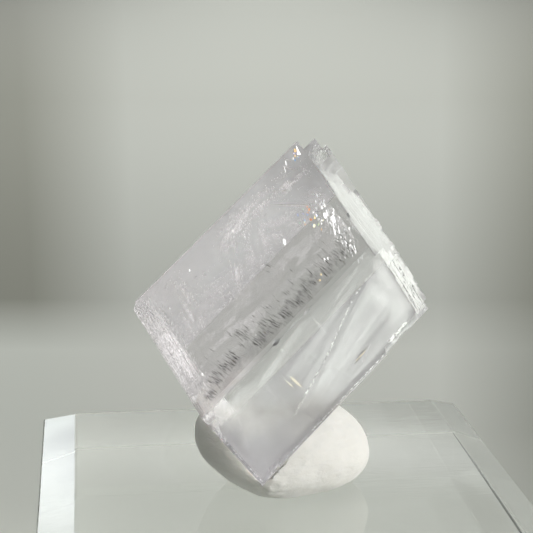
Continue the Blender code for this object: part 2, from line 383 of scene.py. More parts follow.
def veil_material(name, colour, density, low, high, stretch, grain=0.9):
    """A thin cloud of tiny flaws: see-through, with white streaks along the sheet that fade out at its rim."""
    made, tree, shader, output = new_material(name)
    tree.nodes.remove(shader)
    on_sheet = node(tree, "ShaderNodeAttribute", attribute_name="on_sheet").outputs["Vector"]
    wisps = cloud(tree, stretched(tree, on_sheet, stretch), grain, detail=8.0, roughness=0.6, distortion=0.35)
    fade = node(tree, "ShaderNodeAttribute", attribute_name="fade").outputs["Fac"]
    kept = maths(tree, "ADD", wisps, spread(tree, fade, 0.0, 1.0, -0.5, 0.0))
    share = spread(tree, kept, low, high, 0.0, density)
    seen = node(tree, "ShaderNodeBsdfDiffuse", {"Color": (*colour, 1.0)})
    passed = node(tree, "ShaderNodeBsdfTranslucent", {"Color": (*colour, 1.0)})
    cloudy = node(tree, "ShaderNodeMixShader", {0: 0.45, 1: seen.outputs[0], 2: passed.outputs[0]})
    clear = node(tree, "ShaderNodeBsdfTransparent")
    mixed = node(tree, "ShaderNodeMixShader", {0: share, 1: clear.outputs[0], 2: cloudy.outputs[0]})
    link(tree, mixed.outputs[0], output.inputs["Surface"])
    return made


def flake_material(name, first, second, roughness, mirror=0.0):
    """Small bright cleavage flakes whose colour turns from one to the other."""
    made, tree, shader, _ = new_material(name)
    spot = position(tree)
    mottle = cloud(tree, spot, 3.0, detail=2.0)
    tint = blended(tree, spread(tree, mottle, 0.42, 0.58), (*first, 1.0), (*second, 1.0))
    link(tree, tint, shader.inputs["Base Color"])
    link(tree, spread(tree, mottle, 0.3, 0.7, roughness * 0.7, roughness), shader.inputs["Roughness"])
    shader.inputs["Specular IOR Level"].default_value = 0.9
    shader.inputs["Metallic"].default_value = mirror
    return made


def rutile_material(settings):
    """Dark lustrous needles, brown-black with a golden gleam here and there."""
    made, tree, shader, _ = new_material("dark_rutile")
    spot = position(tree)
    share = cloud(tree, spot, 1.6, detail=2.0)
    tint = blended(tree, spread(tree, share, 0.62, 0.75), (*settings.colour, 1.0), (*settings.gleam, 1.0))
    link(tree, tint, shader.inputs["Base Color"])
    link(tree, spread(tree, cloud(tree, spot, 9.0), 0.3, 0.7, 0.2, 0.42), shader.inputs["Roughness"])
    return made


def putty_material(settings):
    """Matt hand-pressed putty: soft mottling, fine pits and faint wrinkles."""
    made, tree, shader, _ = new_material("white_putty")
    spot = position(tree)
    mottle = cloud(tree, spot, 0.45, detail=4.0)
    tint = blended(tree, spread(tree, mottle, 0.3, 0.7), (*settings.colour, 1.0), (*settings.shade, 1.0))
    link(tree, tint, shader.inputs["Base Color"])
    pits = cloud(tree, spot, 7.0, detail=5.0, roughness=0.6)
    wrinkles = cloud(tree, stretched(tree, spot, (1.0, 1.0, 2.6)), 1.3, detail=4.0, distortion=0.8)
    height = maths(tree, "ADD", maths(tree, "MULTIPLY", pits, 0.35), wrinkles)
    link(tree, bumped(tree, height, 0.45, 0.00012), shader.inputs["Normal"])
    link(tree, spread(tree, pits, 0.3, 0.7, 0.62, 0.82), shader.inputs["Roughness"])
    shader.inputs["Subsurface Weight"].default_value = 0.15
    shader.inputs["Subsurface Radius"].default_value = (1.0, 0.9, 0.75)
    shader.inputs["Subsurface Scale"].default_value = 0.0006
    return made


def acrylic_material(settings):
    """Polished acrylic: clear, with a few hair scratches and faint handling marks."""
    made, tree, shader, output = new_material("clear_acrylic")
    spot = position(tree)
    smears = cloud(tree, spot, 0.09, detail=4.0)
    scratches = cloud(tree, stretched(tree, spot, (0.35, 7.0, 7.0)), 0.8, detail=2.0, distortion=0.2)
    link(tree, spread(tree, smears, 0.45, 0.75, 0.0, settings.smear), shader.inputs["Roughness"])
    link(tree, bumped(tree, scratches, 0.08, 0.00002), shader.inputs["Normal"])
    tint = blended(tree, smears, (0.985, 0.99, 0.985, 1.0), (1.0, 1.0, 1.0, 1.0))
    link(tree, tint, shader.inputs["Base Color"])
    shader.inputs["Transmission Weight"].default_value = 1.0
    shader.inputs["IOR"].default_value = settings.ior
    volume = node(tree, "ShaderNodeVolumeAbsorption")
    volume.inputs["Color"].default_value = (*settings.inner_colour, 1.0)
    volume.inputs["Density"].default_value = settings.inner_density
    link(tree, volume.outputs["Volume"], output.inputs["Volume"])
    return made


# The floor's colours are painted light and shade: a painted pool of light round the specimen, painted shade far back
# and to either side, and the block's painted shadow under and before it.
# The floor's two directions, where its colours are measured from, and the nearest distance that counts
FLOOR_AHEAD = (0.122, 0.993, 0.0)
FLOOR_ASIDE = (0.993, -0.122, 0.0)
FLOOR_START = 95.0
FLOOR_NEAREST = 40.0
# Distances between which one colour turns into the next, and how far off the middle line the painted shade at the
# sides begins
PAINTED_SHADOW_TO_NEAR = (105.0, 132.0)
NEAR_TO_MIDDLE = (168.0, 192.0)
MIDDLE_TO_FAR = (240.0, 420.0)
SIDES_TO_FAR = (420.0, 900.0)
SIDES_SET_IN = (90.0, 140.0)
SIDES_SLANT = (0.105, 0.175)
MIDDLE_SLANT = 0.01


def floor_material(settings):
    """A pale floor with painted light and shade: a painted pool of light round the specimen, painted shade far back,
    to either side and most to the near right, and a painted shadow under and before the block.
    """
    made, tree, shader, _ = new_material("floor_painted_light_and_shade")
    spot = position(tree)
    ahead = node(tree, "ShaderNodeVectorMath", {0: spot, 1: FLOOR_AHEAD}, operation="DOT_PRODUCT")
    aside = node(tree, "ShaderNodeVectorMath", {0: spot, 1: FLOOR_ASIDE}, operation="DOT_PRODUCT")
    forward = maths(tree, "MAXIMUM", maths(tree, "ADD", ahead.outputs["Value"], FLOOR_START), FLOOR_NEAREST)
    slant = maths(tree, "DIVIDE", aside.outputs["Value"], forward)
    off_centre = maths(tree, "ABSOLUTE", maths(tree, "ADD", slant, -MIDDLE_SLANT))
    set_in = spread(tree, forward, *SIDES_SET_IN)
    sides = maths(tree, "MULTIPLY", spread(tree, off_centre, *SIDES_SLANT), set_in)
    distance = spread(tree, forward, *NEAR_TO_MIDDLE)
    to_right = spread(tree, slant, -0.12, 0.12)
    beside = blended(tree, to_right, (*settings.floor_near_left, 1.0), (*settings.floor_near_right, 1.0))
    # Painted shadow of the block, on the floor under it and just before it
    near_out = spread(tree, forward, *PAINTED_SHADOW_TO_NEAR)
    under = blended(tree, near_out, (*settings.floor_painted_shadow, 1.0), (*settings.floor_near, 1.0))
    near = blended(tree, sides, under, beside)
    middle_out = spread(tree, forward, *MIDDLE_TO_FAR)
    sides_out = spread(tree, forward, *SIDES_TO_FAR)
    straight = blended(tree, middle_out, (*settings.floor_middle, 1.0), (*settings.floor_far, 1.0))
    flanks = blended(tree, sides_out, (*settings.floor_middle_sides, 1.0), (*settings.floor_far_sides, 1.0))
    far = blended(tree, sides, straight, flanks)
    tint = blended(tree, distance, near, far)
    link(tree, tint, shader.inputs["Base Color"])
    shader.inputs["Roughness"].default_value = 0.9
    return made


# ---------------------------------------------------------------- sizes and colours a user may change


class CrystalSettings(bpy.types.PropertyGroup):
    edge_rounding: bpy.props.FloatProperty(
        name="Edge rounding",
        description="How far the crystal's main edges are worn round",
        default=0.03 * MM,
        min=0.0,
        unit="LENGTH",
    )
    ior: bpy.props.FloatProperty(
        name="Refractive index", description="How strongly the crystal bends light", default=1.63, min=1.0
    )
    inner_colour: bpy.props.FloatVectorProperty(
        name="Inner colour",
        description="Colour that light keeps inside the crystal",
        default=(0.875, 0.867, 0.888),
        subtype="COLOR",
        size=3,
    )
    inner_density: bpy.props.FloatProperty(
        name="Inner density",
        description="How quickly the crystal takes up light, per metre",
        default=100.0,
        min=0.0,
    )
    upper_tint: bpy.props.FloatVectorProperty(
        name="Upper tint",
        description="Faint colour of the upper faces",
        default=(1.0, 0.982, 0.99),
        subtype="COLOR",
        size=3,
    )
    lower_tint: bpy.props.FloatVectorProperty(
        name="Lower tint",
        description="Faint colour of the lower face",
        default=(0.975, 1.0, 0.98),
        subtype="COLOR",
        size=3,
    )
    # Painted shade: the two colours that darken the lower face towards the tip
    painted_shade_rim: bpy.props.FloatVectorProperty(
        name="Smoky rim",
        description="Colour where the smoky tip begins",
        default=(0.74, 0.72, 0.68),
        subtype="COLOR",
        size=3,
    )
    painted_shade_tip: bpy.props.FloatVectorProperty(
        name="Smoky tip",
        description="Colour of the tip in the putty",
        default=(0.50, 0.49, 0.52),
        subtype="COLOR",
        size=3,
    )
    face_haze: bpy.props.FloatProperty(
        name="Face haze",
        description="Roughness of the dull patches on the clean faces",
        default=0.05,
        subtype="FACTOR",
    )
    back_haze: bpy.props.FloatProperty(
        name="Back haze",
        description="Roughness of the etched faces at the back",
        default=0.36,
        subtype="FACTOR",
    )
    frost_roughness: bpy.props.FloatProperty(
        name="Frost roughness", description="Roughness of the broken faces", default=0.6, subtype="FACTOR"
    )
    frost_clearness: bpy.props.FloatProperty(
        name="Frost clearness",
        description="Share of light that passes the broken faces",
        default=0.72,
        subtype="FACTOR",
    )


class NeedleSettings(bpy.types.PropertyGroup):
    count: bpy.props.IntProperty(
        name="Needles",
        description="How many needles grow in the band",
        default=430,
        min=1,
    )
    length: bpy.props.FloatProperty(
        name="Longest needle", description="Length of the longest needle", default=0.85 * MM, unit="LENGTH"
    )
    width: bpy.props.FloatProperty(
        name="Needle width", description="Width of the thickest needle", default=0.038 * MM, unit="LENGTH"
    )
    colour: bpy.props.FloatVectorProperty(
        name="Colour",
        description="Colour of the needles",
        default=(0.020, 0.016, 0.014),
        subtype="COLOR",
        size=3,
    )
    gleam: bpy.props.FloatVectorProperty(
        name="Gleam",
        description="Colour of the brighter needles",
        default=(0.25, 0.17, 0.07),
        subtype="COLOR",
        size=3,
    )


class PuttySettings(bpy.types.PropertyGroup):
    colour: bpy.props.FloatVectorProperty(
        name="Colour",
        description="Colour of the putty",
        default=(0.91, 0.905, 0.875),
        subtype="COLOR",
        size=3,
    )
    shade: bpy.props.FloatVectorProperty(
        name="Shade",
        description="Colour of its greyer patches",
        default=(0.86, 0.855, 0.82),
        subtype="COLOR",
        size=3,
    )
    clearance: bpy.props.FloatProperty(
        name="Clearance", description="Space between putty and crystal", default=0.05 * MM, unit="LENGTH"
    )


class BlockSettings(bpy.types.PropertyGroup):
    ior: bpy.props.FloatProperty(
        name="Refractive index", description="How strongly the block bends light", default=1.49, min=1.0
    )
    inner_colour: bpy.props.FloatVectorProperty(
        name="Inner colour",
        description="Colour that light keeps inside the block",
        default=(0.96, 0.99, 0.97),
        subtype="COLOR",
        size=3,
    )
    inner_density: bpy.props.FloatProperty(
        name="Inner density",
        description="How quickly the block takes up light, per metre",
        default=15.0,
        min=0.0,
    )
    smear: bpy.props.FloatProperty(
        name="Smear", description="Roughness of the handled patches", default=0.06, subtype="FACTOR"
    )
    edge_rounding: bpy.props.FloatProperty(
        name="Edge rounding",
        description="Radius polished onto the block's edges",
        default=0.12 * MM,
        unit="LENGTH",
    )


class StageSettings(bpy.types.PropertyGroup):
    sky_shade: bpy.props.FloatVectorProperty(
        name="Sky shade",
        description="Colour of the dimmest part of the soft light",
        default=(0.05, 0.05, 0.045),
        subtype="COLOR",
        size=3,
    )
    band_colour: bpy.props.FloatVectorProperty(
        name="Light band",
        description="Colour of the low band of light behind",
        default=(1.25, 1.28, 1.25),
        subtype="COLOR",
        size=3,
    )
    # Painted shadow of the block, on the floor under and before it
    floor_painted_shadow: bpy.props.FloatVectorProperty(
        name="Floor, under",
        description="Colour under and before the block",
        default=(0.73, 0.75, 0.705),
        subtype="COLOR",
        size=3,
    )
    # The floor colours below paint light and shade: paler near the specimen, darker far back and to the sides,
    # darkest to the near right
    floor_near: bpy.props.FloatVectorProperty(
        name="Floor",
        description="Colour of the floor round the specimen",
        default=(0.83, 0.85, 0.80),
        subtype="COLOR",
        size=3,
    )
    floor_near_left: bpy.props.FloatVectorProperty(
        name="Floor, near left",
        description="Colour to the left of the specimen",
        default=(0.80, 0.83, 0.775),
        subtype="COLOR",
        size=3,
    )
    floor_near_right: bpy.props.FloatVectorProperty(
        name="Floor, near right",
        description="Colour to the right of the specimen",
        default=(0.49, 0.505, 0.46),
        subtype="COLOR",
        size=3,
    )
    floor_middle: bpy.props.FloatVectorProperty(
        name="Floor, behind",
        description="Colour just behind the specimen",
        default=(0.645, 0.665, 0.62),
        subtype="COLOR",
        size=3,
    )
    floor_middle_sides: bpy.props.FloatVectorProperty(
        name="Floor, behind sides",
        description="Colour to either side, behind",
        default=(0.335, 0.34, 0.295),
        subtype="COLOR",
        size=3,
    )
    floor_far: bpy.props.FloatVectorProperty(
        name="Floor, far",
        description="Colour of the floor far back",
        default=(0.57, 0.585, 0.54),
        subtype="COLOR",
        size=3,
    )
    floor_far_sides: bpy.props.FloatVectorProperty(
        name="Floor, far sides",
        description="Colour to either side, far back",
        default=(0.465, 0.47, 0.425),
        subtype="COLOR",
        size=3,
    )
    key_strength: bpy.props.FloatProperty(
        name="Key light",
        description="Power of the main soft light, in watts",
        default=24.0,
    )
    strip_strength: bpy.props.FloatProperty(
        name="Floor light",
        description="Power of the strip light over the floor behind, in watts",
        default=1.1,
    )
    strip_length: bpy.props.FloatProperty(
        name="Floor light length", description="Length of the strip light", default=1.16, unit="LENGTH"
    )
    key_width: bpy.props.FloatProperty(
        name="Key width", description="Width of the main soft light", default=0.8, unit="LENGTH"
    )
    key_distance: bpy.props.FloatProperty(
        name="Key distance", description="How far off the main light stands", default=1.5, unit="LENGTH"
    )
    key_azimuth_deg: bpy.props.FloatProperty(
        name="Key azimuth", description="Degrees from +Y towards +X", default=116.0
    )
    key_elevation_deg: bpy.props.FloatProperty(
        name="Key elevation", description="Degrees above the floor", default=12.0
    )
    sky_strength: bpy.props.FloatProperty(
        name="Soft light",
        description="Strength of the light all round",
        default=1.0,
    )


# Soft bright patches round the specimen: where each lies, how narrow it is, and its colour
SKY_PATCHES = (
    (direction_to(10.0, 28.0), 2.4, (0.46, 0.48, 0.45)),
    (direction_to(168.0, 29.0), 12.0, (0.355, 0.355, 0.35)),
    (direction_to(343.0, 12.0), 500.0, (3.1, 3.25, 3.3)),
)

# The low soft band of light behind the specimen that the block's top mirrors
BAND_ELEVATION_DEG = 20.0
BAND_TOWARDS = direction_to(16.0, BAND_ELEVATION_DEG)
BAND_NARROWNESS = 30.0
BAND_HALF_HEIGHT = (0.024, 0.002)

# The key light's height for each metre of its width and its colour, and the floor light's place and breadth
KEY_PROPORTION = 1.2
KEY_COLOUR = (1.0, 0.985, 0.95)
FLOOR_LIGHT_PLACE = (0.088, 0.72, 0.20)
FLOOR_LIGHT_BREADTH = 0.16

# The camera: its place in millimetres, its turn, and its focal length and frame in pixels
CAMERA_PLACE = (-12.4, -94.2, 48.5)
CAMERA_TURN_DEG = (77.05, 0.0, -7.0)
FOCAL_PIXELS = 1500.0
FRAME_PIXELS = 533.0
SENSOR_WIDTH = 36.0

FLOOR_RADIUS = 3000.0
FLOOR_DROP = 0.02


# ---------------------------------------------------------------- operators


def crystal_body(materials):
    """The rhomb with its overhanging right end, drawn as one outline in u and w and pushed along v."""
    outline = (
        (0.0, 0.0),
        (LONG_EDGE, 0.0),
        (LONG_EDGE, DEEP_EDGE),
        (-LEDGE_OVERHANG, DEEP_EDGE),
        (-LEDGE_OVERHANG, LEDGE_DEPTH),
        (0.0, LEDGE_DEPTH),
    )
    bm = bmesh.new()
    base = bm.faces.new([bm.verts.new(OBLIQUE @ Vector((u, 0.0, w))) for u, w in outline])
    raised = bmesh.ops.extrude_face_region(bm, geom=[base])["geom"]
    upper = [item for item in raised if isinstance(item, bmesh.types.BMVert)]
    bmesh.ops.translate(bm, vec=AXIS_V * SHORT_EDGE, verts=upper)
    return new_piece("calcite_crystal", bm, materials, slot="calcite")


def end_terraces():
    """Cleavage terraces down the right end: kept u, v range and depth of each."""
    outside, front = -3.0, -0.5
    terraces = [
        (-1.22, (2.5, 6.0), 9.0),
        (-1.05, (-1.0, 3.0), 9.0),
        (-1.05, (7.9, 10.0), 3.4),
        (0.44, (-1.1, 1.7), LEDGE_DEPTH - 0.03),
        (0.33, (-1.2, 3.4), LEDGE_DEPTH - 0.05),
        (0.15, (-1.3, 5.2), LEDGE_DEPTH - 0.08),
        (-0.30, (-1.0, 7.2), 1.55),
        (-0.62, (0.9, 5.6), 2.5),
        (-0.84, (3.3, 6.5), 3.9),
        (-0.55, (-1.0, 1.3), 2.2),
        (-0.72, (-1.0, 0.6), 9.0),
    ]
    return [
        cleavage_cutter("terrace", (outside, keep_u), v, (front, depth)) for keep_u, v, depth in terraces
    ]


# The slot at the lower left corner, in u, v and w
CORNER_SLOT = ((LONG_EDGE - 0.6, 16.0), (-1.0, 0.5), (0.8, 1.4))


def edge_steps():
    """A low step along the back edge, the slot at the lower left corner and small nicks in the edges."""
    steps = [
        ((-3.0, 3.2), (-1.0, 0.9), (DEEP_EDGE - 0.2, 10.0)),
        CORNER_SLOT,
        ((12.95, 13.2), (-1.0, 0.25), (DEEP_EDGE - 0.25, 10.0)),
        ((-3.0, -0.5), (8.2, 10.0), (2.9, 10.0)),
    ]
    return [cleavage_cutter("step", *step) for step in steps]


def chips():
    """Shell-shaped chips at the corners and along the upper left edge: centre in u, v and w, and radius."""
    places = [
        ((1.3, -1.5, DEEP_EDGE + 0.6), 1.95),
        ((9.6, SHORT_EDGE + 0.9, -0.6), 1.25),
        ((LONG_EDGE + 0.75, SHORT_EDGE + 0.75, -0.2), 1.25),
        ((-0.75, SHORT_EDGE - 0.5, -0.75), 1.1),
        ((1.6, SHORT_EDGE + 0.35, -0.4), 0.6),
        ((12.4, SHORT_EDGE + 0.45, -0.3), 0.62),
        ((5.7, -0.32, -0.22), 0.42),
        ((8.3, -0.22, -0.32), 0.46),
    ]
    return [shell_cutter("chip", at, radius, seed * 3.3) for seed, (at, radius) in enumerate(places)]


def end_reach(v):
    """How far the right end overhangs at a height up the short edge."""
    if v < 3.0:
        return 1.05
    return 1.22 if v < 6.0 else LEDGE_OVERHANG


def fine_steps(rng):
    """Very low cleavage steps: grooves across the left end, narrow ledges down the right end."""
    cutters = []
    for number in range(9):
        low = 0.25 + number * 0.34 + rng.uniform(-0.08, 0.08)
        v_low = rng.uniform(-1.0, 4.5)
        depth = rng.uniform(0.03, 0.10)
        cutters.append(
            cleavage_cutter(
                "groove",
                (LONG_EDGE - depth, LONG_EDGE + 1.0),
                (v_low, v_low + rng.uniform(3.5, 9.0)),
                (low, low + rng.uniform(0.06, 0.2)),
            )
        )
    for number in range(26):
        v_low = rng.uniform(-1.0, 2.5 if number < 14 else 1.5)
        low = rng.uniform(1.2, 7.6)
        depth = rng.uniform(0.04, 0.16)
        cutters.append(
            cleavage_cutter(
                "ledge",
                (-LEDGE_OVERHANG - 1.0, -end_reach(v_low) + depth),
                (v_low, v_low + rng.uniform(1.0, 4.0)),
                (low, low + rng.uniform(0.15, 0.7)),
            )
        )
    return cutters


# How closely a face must lie to a cleavage plane to be clean, how far the right end reaches in u,
# and by how much a face's middle may lie off the slot and still be one of its walls
CLEAN_COSINE = 0.97
RIGHT_END_U = 0.6
SLOT_MARGIN = 0.05


def pick_finish(piece):
    """Gives broken and end faces the frosted finish and leaves the clean faces clear."""
    slot_u, slot_v, slot_w = CORNER_SLOT
    for face in piece.data.polygons:
        u, v, w = TO_LATTICE @ (face.center / MM)
        on_end = abs(face.normal.dot(END_NORMAL)) > CLEAN_COSINE
        on_front = abs(face.normal.dot(FRONT_NORMAL)) > CLEAN_COSINE
        on_lower = abs(face.normal.dot(LOWER_NORMAL)) > CLEAN_COSINE
        broken = not (on_end or on_front or on_lower)
        right_end = on_end and u < RIGHT_END_U
        right_ledge = on_front and u < RIGHT_END_U and w > 0.5
        right_wall = on_lower and u < RIGHT_END_U and 0.2 < v < SHORT_EDGE - 0.5
        left_end = on_end and u > LONG_EDGE - 0.2
        beside_slot = u > slot_u[0] - SLOT_MARGIN and 0.02 < v < slot_v[1] + SLOT_MARGIN
        in_slot = beside_slot and slot_w[0] - SLOT_MARGIN < w < slot_w[1] + SLOT_MARGIN
        frosted = broken or right_end or right_ledge or right_wall or left_end or in_slot
        face.material_index = 1 if frosted else 0


class SPECIMEN_OT_crystal(bpy.types.Operator):
    """Builds the clear crystal with its ledges, chips and steps"""

    bl_idname = "specimen.crystal"
    bl_label = "Calcite Crystal"

    def execute(self, context):
        settings = context.scene.specimen_crystal
        rng = random.Random(11)
        crystal = crystal_body([clear_calcite(settings), frosted_calcite(settings)])
        carve(crystal, end_terraces() + edge_steps())
        rounding = crystal.modifiers.new("Worn edges", "BEVEL")
        rounding.width = settings.edge_rounding
        rounding.segments = 2
        rounding.limit_method = "ANGLE"
        bake_modifiers(crystal)
        carve(crystal, chips())
        carve(crystal, fine_steps(rng))
        pick_finish(crystal)
        crystal.visible_shadow = False
        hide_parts("calcite_plate", "calcite_body")
        return {"FINISHED"}


def soft_sheet(bm, corners, soft, waviness, seed, cells=(28, 20), thickness=0.012):
    """A thin closed sheet between four corners given in u, v and w.

    Its rim fades out: soft gives how much of the sheet fades at its start, end, low and high side.
    """
    fade = bm.verts.layers.float.get("fade") or bm.verts.layers.float.new("fade")
    on_sheet = bm.verts.layers.float_vector.get("on_sheet") or bm.verts.layers.float_vector.new("on_sheet")
    first, second, third, fourth = [OBLIQUE @ Vector(corner) for corner in corners]
    length = ((second - first).length + (third - fourth).length) / 2
    width = ((fourth - first).length + (third - second).length) / 2
    normal = (second - first).cross(fourth - first).normalized()
    grid = bmesh.ops.create_grid(bm, x_segments=cells[0], y_segments=cells[1], size=0.5)["verts"]
    sheet = {face for vert in grid for face in vert.link_faces}
    for vert in grid:
        along, across = vert.co.x + 0.5, vert.co.y + 0.5
        edges = (along, 1.0 - along, across, 1.0 - across)
        share = 1.0
        for edge, part in zip(edges, soft):
            share *= min(1.0, edge / part) if part > 0.0 else 1.0
        vert[fade] = share
        vert[on_sheet] = Vector((along * length, across * width, seed * 7.3))
        vert.co = first.lerp(second, along).lerp(fourth.lerp(third, along), across)
        place = Vector((along * length * 0.5, across * width * 0.5, seed * 1.9))
        vert.co += normal * waviness * noise.noise(place)
    raised = bmesh.ops.extrude_face_region(bm, geom=list(sheet))["geom"]
    upper = [item for item in raised if isinstance(item, bmesh.types.BMVert)]
    bmesh.ops.translate(bm, vec=normal * thickness, verts=upper)


def patch(centre, along, across):
    """The four corners of a patch, from its centre and the ways to its end and to its side, in u, v and w."""
    centre, along, across = Vector(centre), Vector(along), Vector(across)
    return [centre - along - across, centre + along - across, centre + along + across, centre - along + across]


ALL_SOFT = (0.4, 0.4, 0.45, 0.45)

# The clouds of tiny flaws. Each finish: colour, density, low and high cut, stretch along and across, grain.
# Each sheet: its four corners, how much of it fades at each side, and its waviness.
VEILS = {
    "upper_milk": (
        ((1.0, 0.975, 0.99), 0.24, 0.05, 0.75, (0.5, 0.9, 1.0), 0.6),
        [
            (
                ((14.2, 0.5, 0.3), (0.4, 0.5, 0.3), (0.3, 8.6, 4.6), (14.2, 8.6, 4.6)),
                (0.03, 0.1, 0.1, 0.1),
                0.2,
            ),
        ],
    ),
    "lower_milk": (
        ((0.975, 1.0, 0.985), 0.17, 0.05, 0.75, (0.3, 1.2, 1.0), 0.6),
        [
            (
                ((14.2, 0.35, 0.7), (0.3, 0.35, 0.3), (0.3, 0.5, 8.42), (14.2, 0.5, 8.42)),
                (0.03, 0.03, 0.08, 0.03),
                0.1,
            ),
            (
                ((14.2, 0.9, 0.9), (9.6, 0.9, 1.5), (8.6, 0.9, 8.42), (14.2, 0.9, 8.42)),
                (0.05, 0.4, 0.2, 0.05),
                0.1,
            ),
        ],
    ),
    "lower_streaks": (
        ((0.985, 1.0, 0.99), 0.235, 0.20, 0.70, (0.16, 1.6, 1.0), 1.1),
        [
            (
                ((10.9, 0.5, 6.5), (1.2, 0.5, 2.0), (0.4, 0.6, 8.4), (8.3, 0.6, 8.4)),
                (0.12, 0.05, 0.02, 0.1),
                0.03,
            ),
            (
                ((10.0, 0.8, 6.6), (0.9, 0.8, 2.6), (0.4, 0.9, 6.0), (8.6, 0.9, 8.2)),
                (0.2, 0.1, 0.05, 0.3),
                0.03,
            ),
            (
                ((11.9, 0.4, 1.4), (5.3, 0.4, 0.0), (5.2, 0.6, 1.2), (11.5, 0.6, 3.0)),
                (0.2, 0.25, 0.45, 0.45),
                0.03,
            ),
            (
                ((4.5, 0.4, 1.3), (1.6, 0.4, 0.6), (1.5, 0.6, 1.2), (4.3, 0.6, 1.9)),
                (0.2, 0.1, 0.35, 0.35),
                0.03,
            ),
            (
                ((10.4, 0.45, 6.42), (1.5, 0.45, 2.32), (2.2, 0.6, 0.9), (10.8, 0.7, 2.6)),
                (0.25, 0.3, 0.04, 0.35),
                0.02,
            ),
            (
                ((5.9, 0.4, 0.5), (5.65, 0.4, 3.9), (5.5, 0.45, 3.9), (5.75, 0.45, 0.5)),
                (0.2, 0.3, 0.5, 0.5),
                0.02,
            ),
        ],
    ),
    "end_haze": (
        ((0.99, 1.0, 0.99), 0.22, 0.02, 0.58, (0.5, 0.8, 1.0), 0.9),
        [
            (
                ((2.2, 0.45, 1.9), (2.6, 0.45, 7.6), (0.2, 0.6, 8.2), (0.3, 0.6, 1.3)),
                (0.2, 0.15, 0.5, 0.02),
                0.08,
            ),
            (
                ((1.2, 0.9, 1.6), (1.4, 0.9, 7.9), (0.15, 1.1, 8.2), (0.2, 1.1, 1.2)),
                (0.15, 0.1, 0.5, 0.02),
                0.08,
            ),
            (patch((12.7, 0.6, 3.8), (1.4, 0.0, 0.5), (-0.2, 0.1, 2.7)), ALL_SOFT, 0.05),
            (
                ((14.35, 0.3, 0.9), (14.35, 0.3, 8.3), (13.8, 0.4, 8.3), (13.8, 0.4, 0.9)),
                (0.1, 0.02, 0.0, 0.7),
                0.03,
            ),
        ],
    ),
    "corner_milk": (
        ((0.985, 0.99, 0.985), 0.07, -0.1, 0.5, (0.8, 0.8, 1.0), 0.8),
        [
            (patch((12.7, 0.35, 1.3), (1.5, 0.0, 0.5), (-0.1, 0.05, 1.05)), (0.3, 0.45, 0.45, 0.45), 0.03),
        ],
    ),
    "left_frosting": (
        ((0.95, 0.945, 0.955), 1.0, 0.10, 0.50, (0.35, 3.2, 1.0), 1.3),
        [
            (
                ((14.42, 1.0, 0.15), (14.42, 8.6, 0.15), (13.1, 8.5, 0.75), (13.3, 1.8, 0.75)),
                (0.1, 0.6, 0.0, 0.15),
                0.02,
            ),
            (
                ((14.42, 1.2, 0.30), (14.42, 8.0, 0.30), (13.0, 7.8, 0.80), (13.3, 2.0, 0.80)),
                (0.2, 0.75, 0.0, 0.3),
                0.02,
            ),
            (
                ((13.95, 1.6, 0.12), (13.95, 6.6, 0.12), (13.2, 6.6, 0.60), (13.3, 1.6, 0.60)),
                (0.2, 0.6, 0.3, 0.3),
                0.02,
            ),
        ],
    ),
    "ledge_frosting": (
        ((1.0, 1.0, 1.0), 1.0, 0.05, 0.40, (0.25, 2.0, 1.0), 1.2),
        [
            (
                ((-0.05, 0.3, 1.05), (-0.05, 7.0, 1.05), (-0.28, 6.8, 1.05), (-0.28, 0.3, 1.05)),
                (0.02, 0.4, 0.0, 0.0),
                0.0,
            ),
            (
                ((-0.05, 1.0, 1.65), (-0.05, 7.0, 1.65), (-0.55, 6.8, 1.65), (-0.55, 1.0, 1.65)),
                (0.02, 0.4, 0.0, 0.0),
                0.0,
            ),
            (
                ((-0.05, 0.2, 2.6), (-0.05, 7.4, 2.6), (-0.95, 7.2, 2.6), (-0.95, 0.2, 2.6)),
                (0.02, 0.2, 0.0, 0.0),
                0.0,
            ),
        ],
    ),
    "needle_haze": (
        ((0.30, 0.29, 0.30), 0.22, 0.25, 0.75, (0.8, 0.6, 1.0), 1.6),
        [
            (
                ((13.6, 0.4, 0.25), (1.2, 0.4, 0.25), (1.4, 3.0, 1.5), (13.4, 2.9, 1.5)),
                (0.05, 0.08, 0.05, 0.55),
                0.02,
            ),
        ],
    ),
    "golden_streaks": (
        ((1.0, 0.93, 0.74), 0.45, 0.2, 0.5, (0.3, 1.6, 1.0), 1.2),
        [
            (patch((8.95, 0.5, 4.2), (-0.12, 0.0, 1.25), (0.13, 0.0, 0.0)), ALL_SOFT, 0.0),
            (patch((9.35, 0.5, 3.7), (-0.12, 0.0, 1.0), (0.09, 0.0, 0.0)), ALL_SOFT, 0.0),
        ],
    ),
}


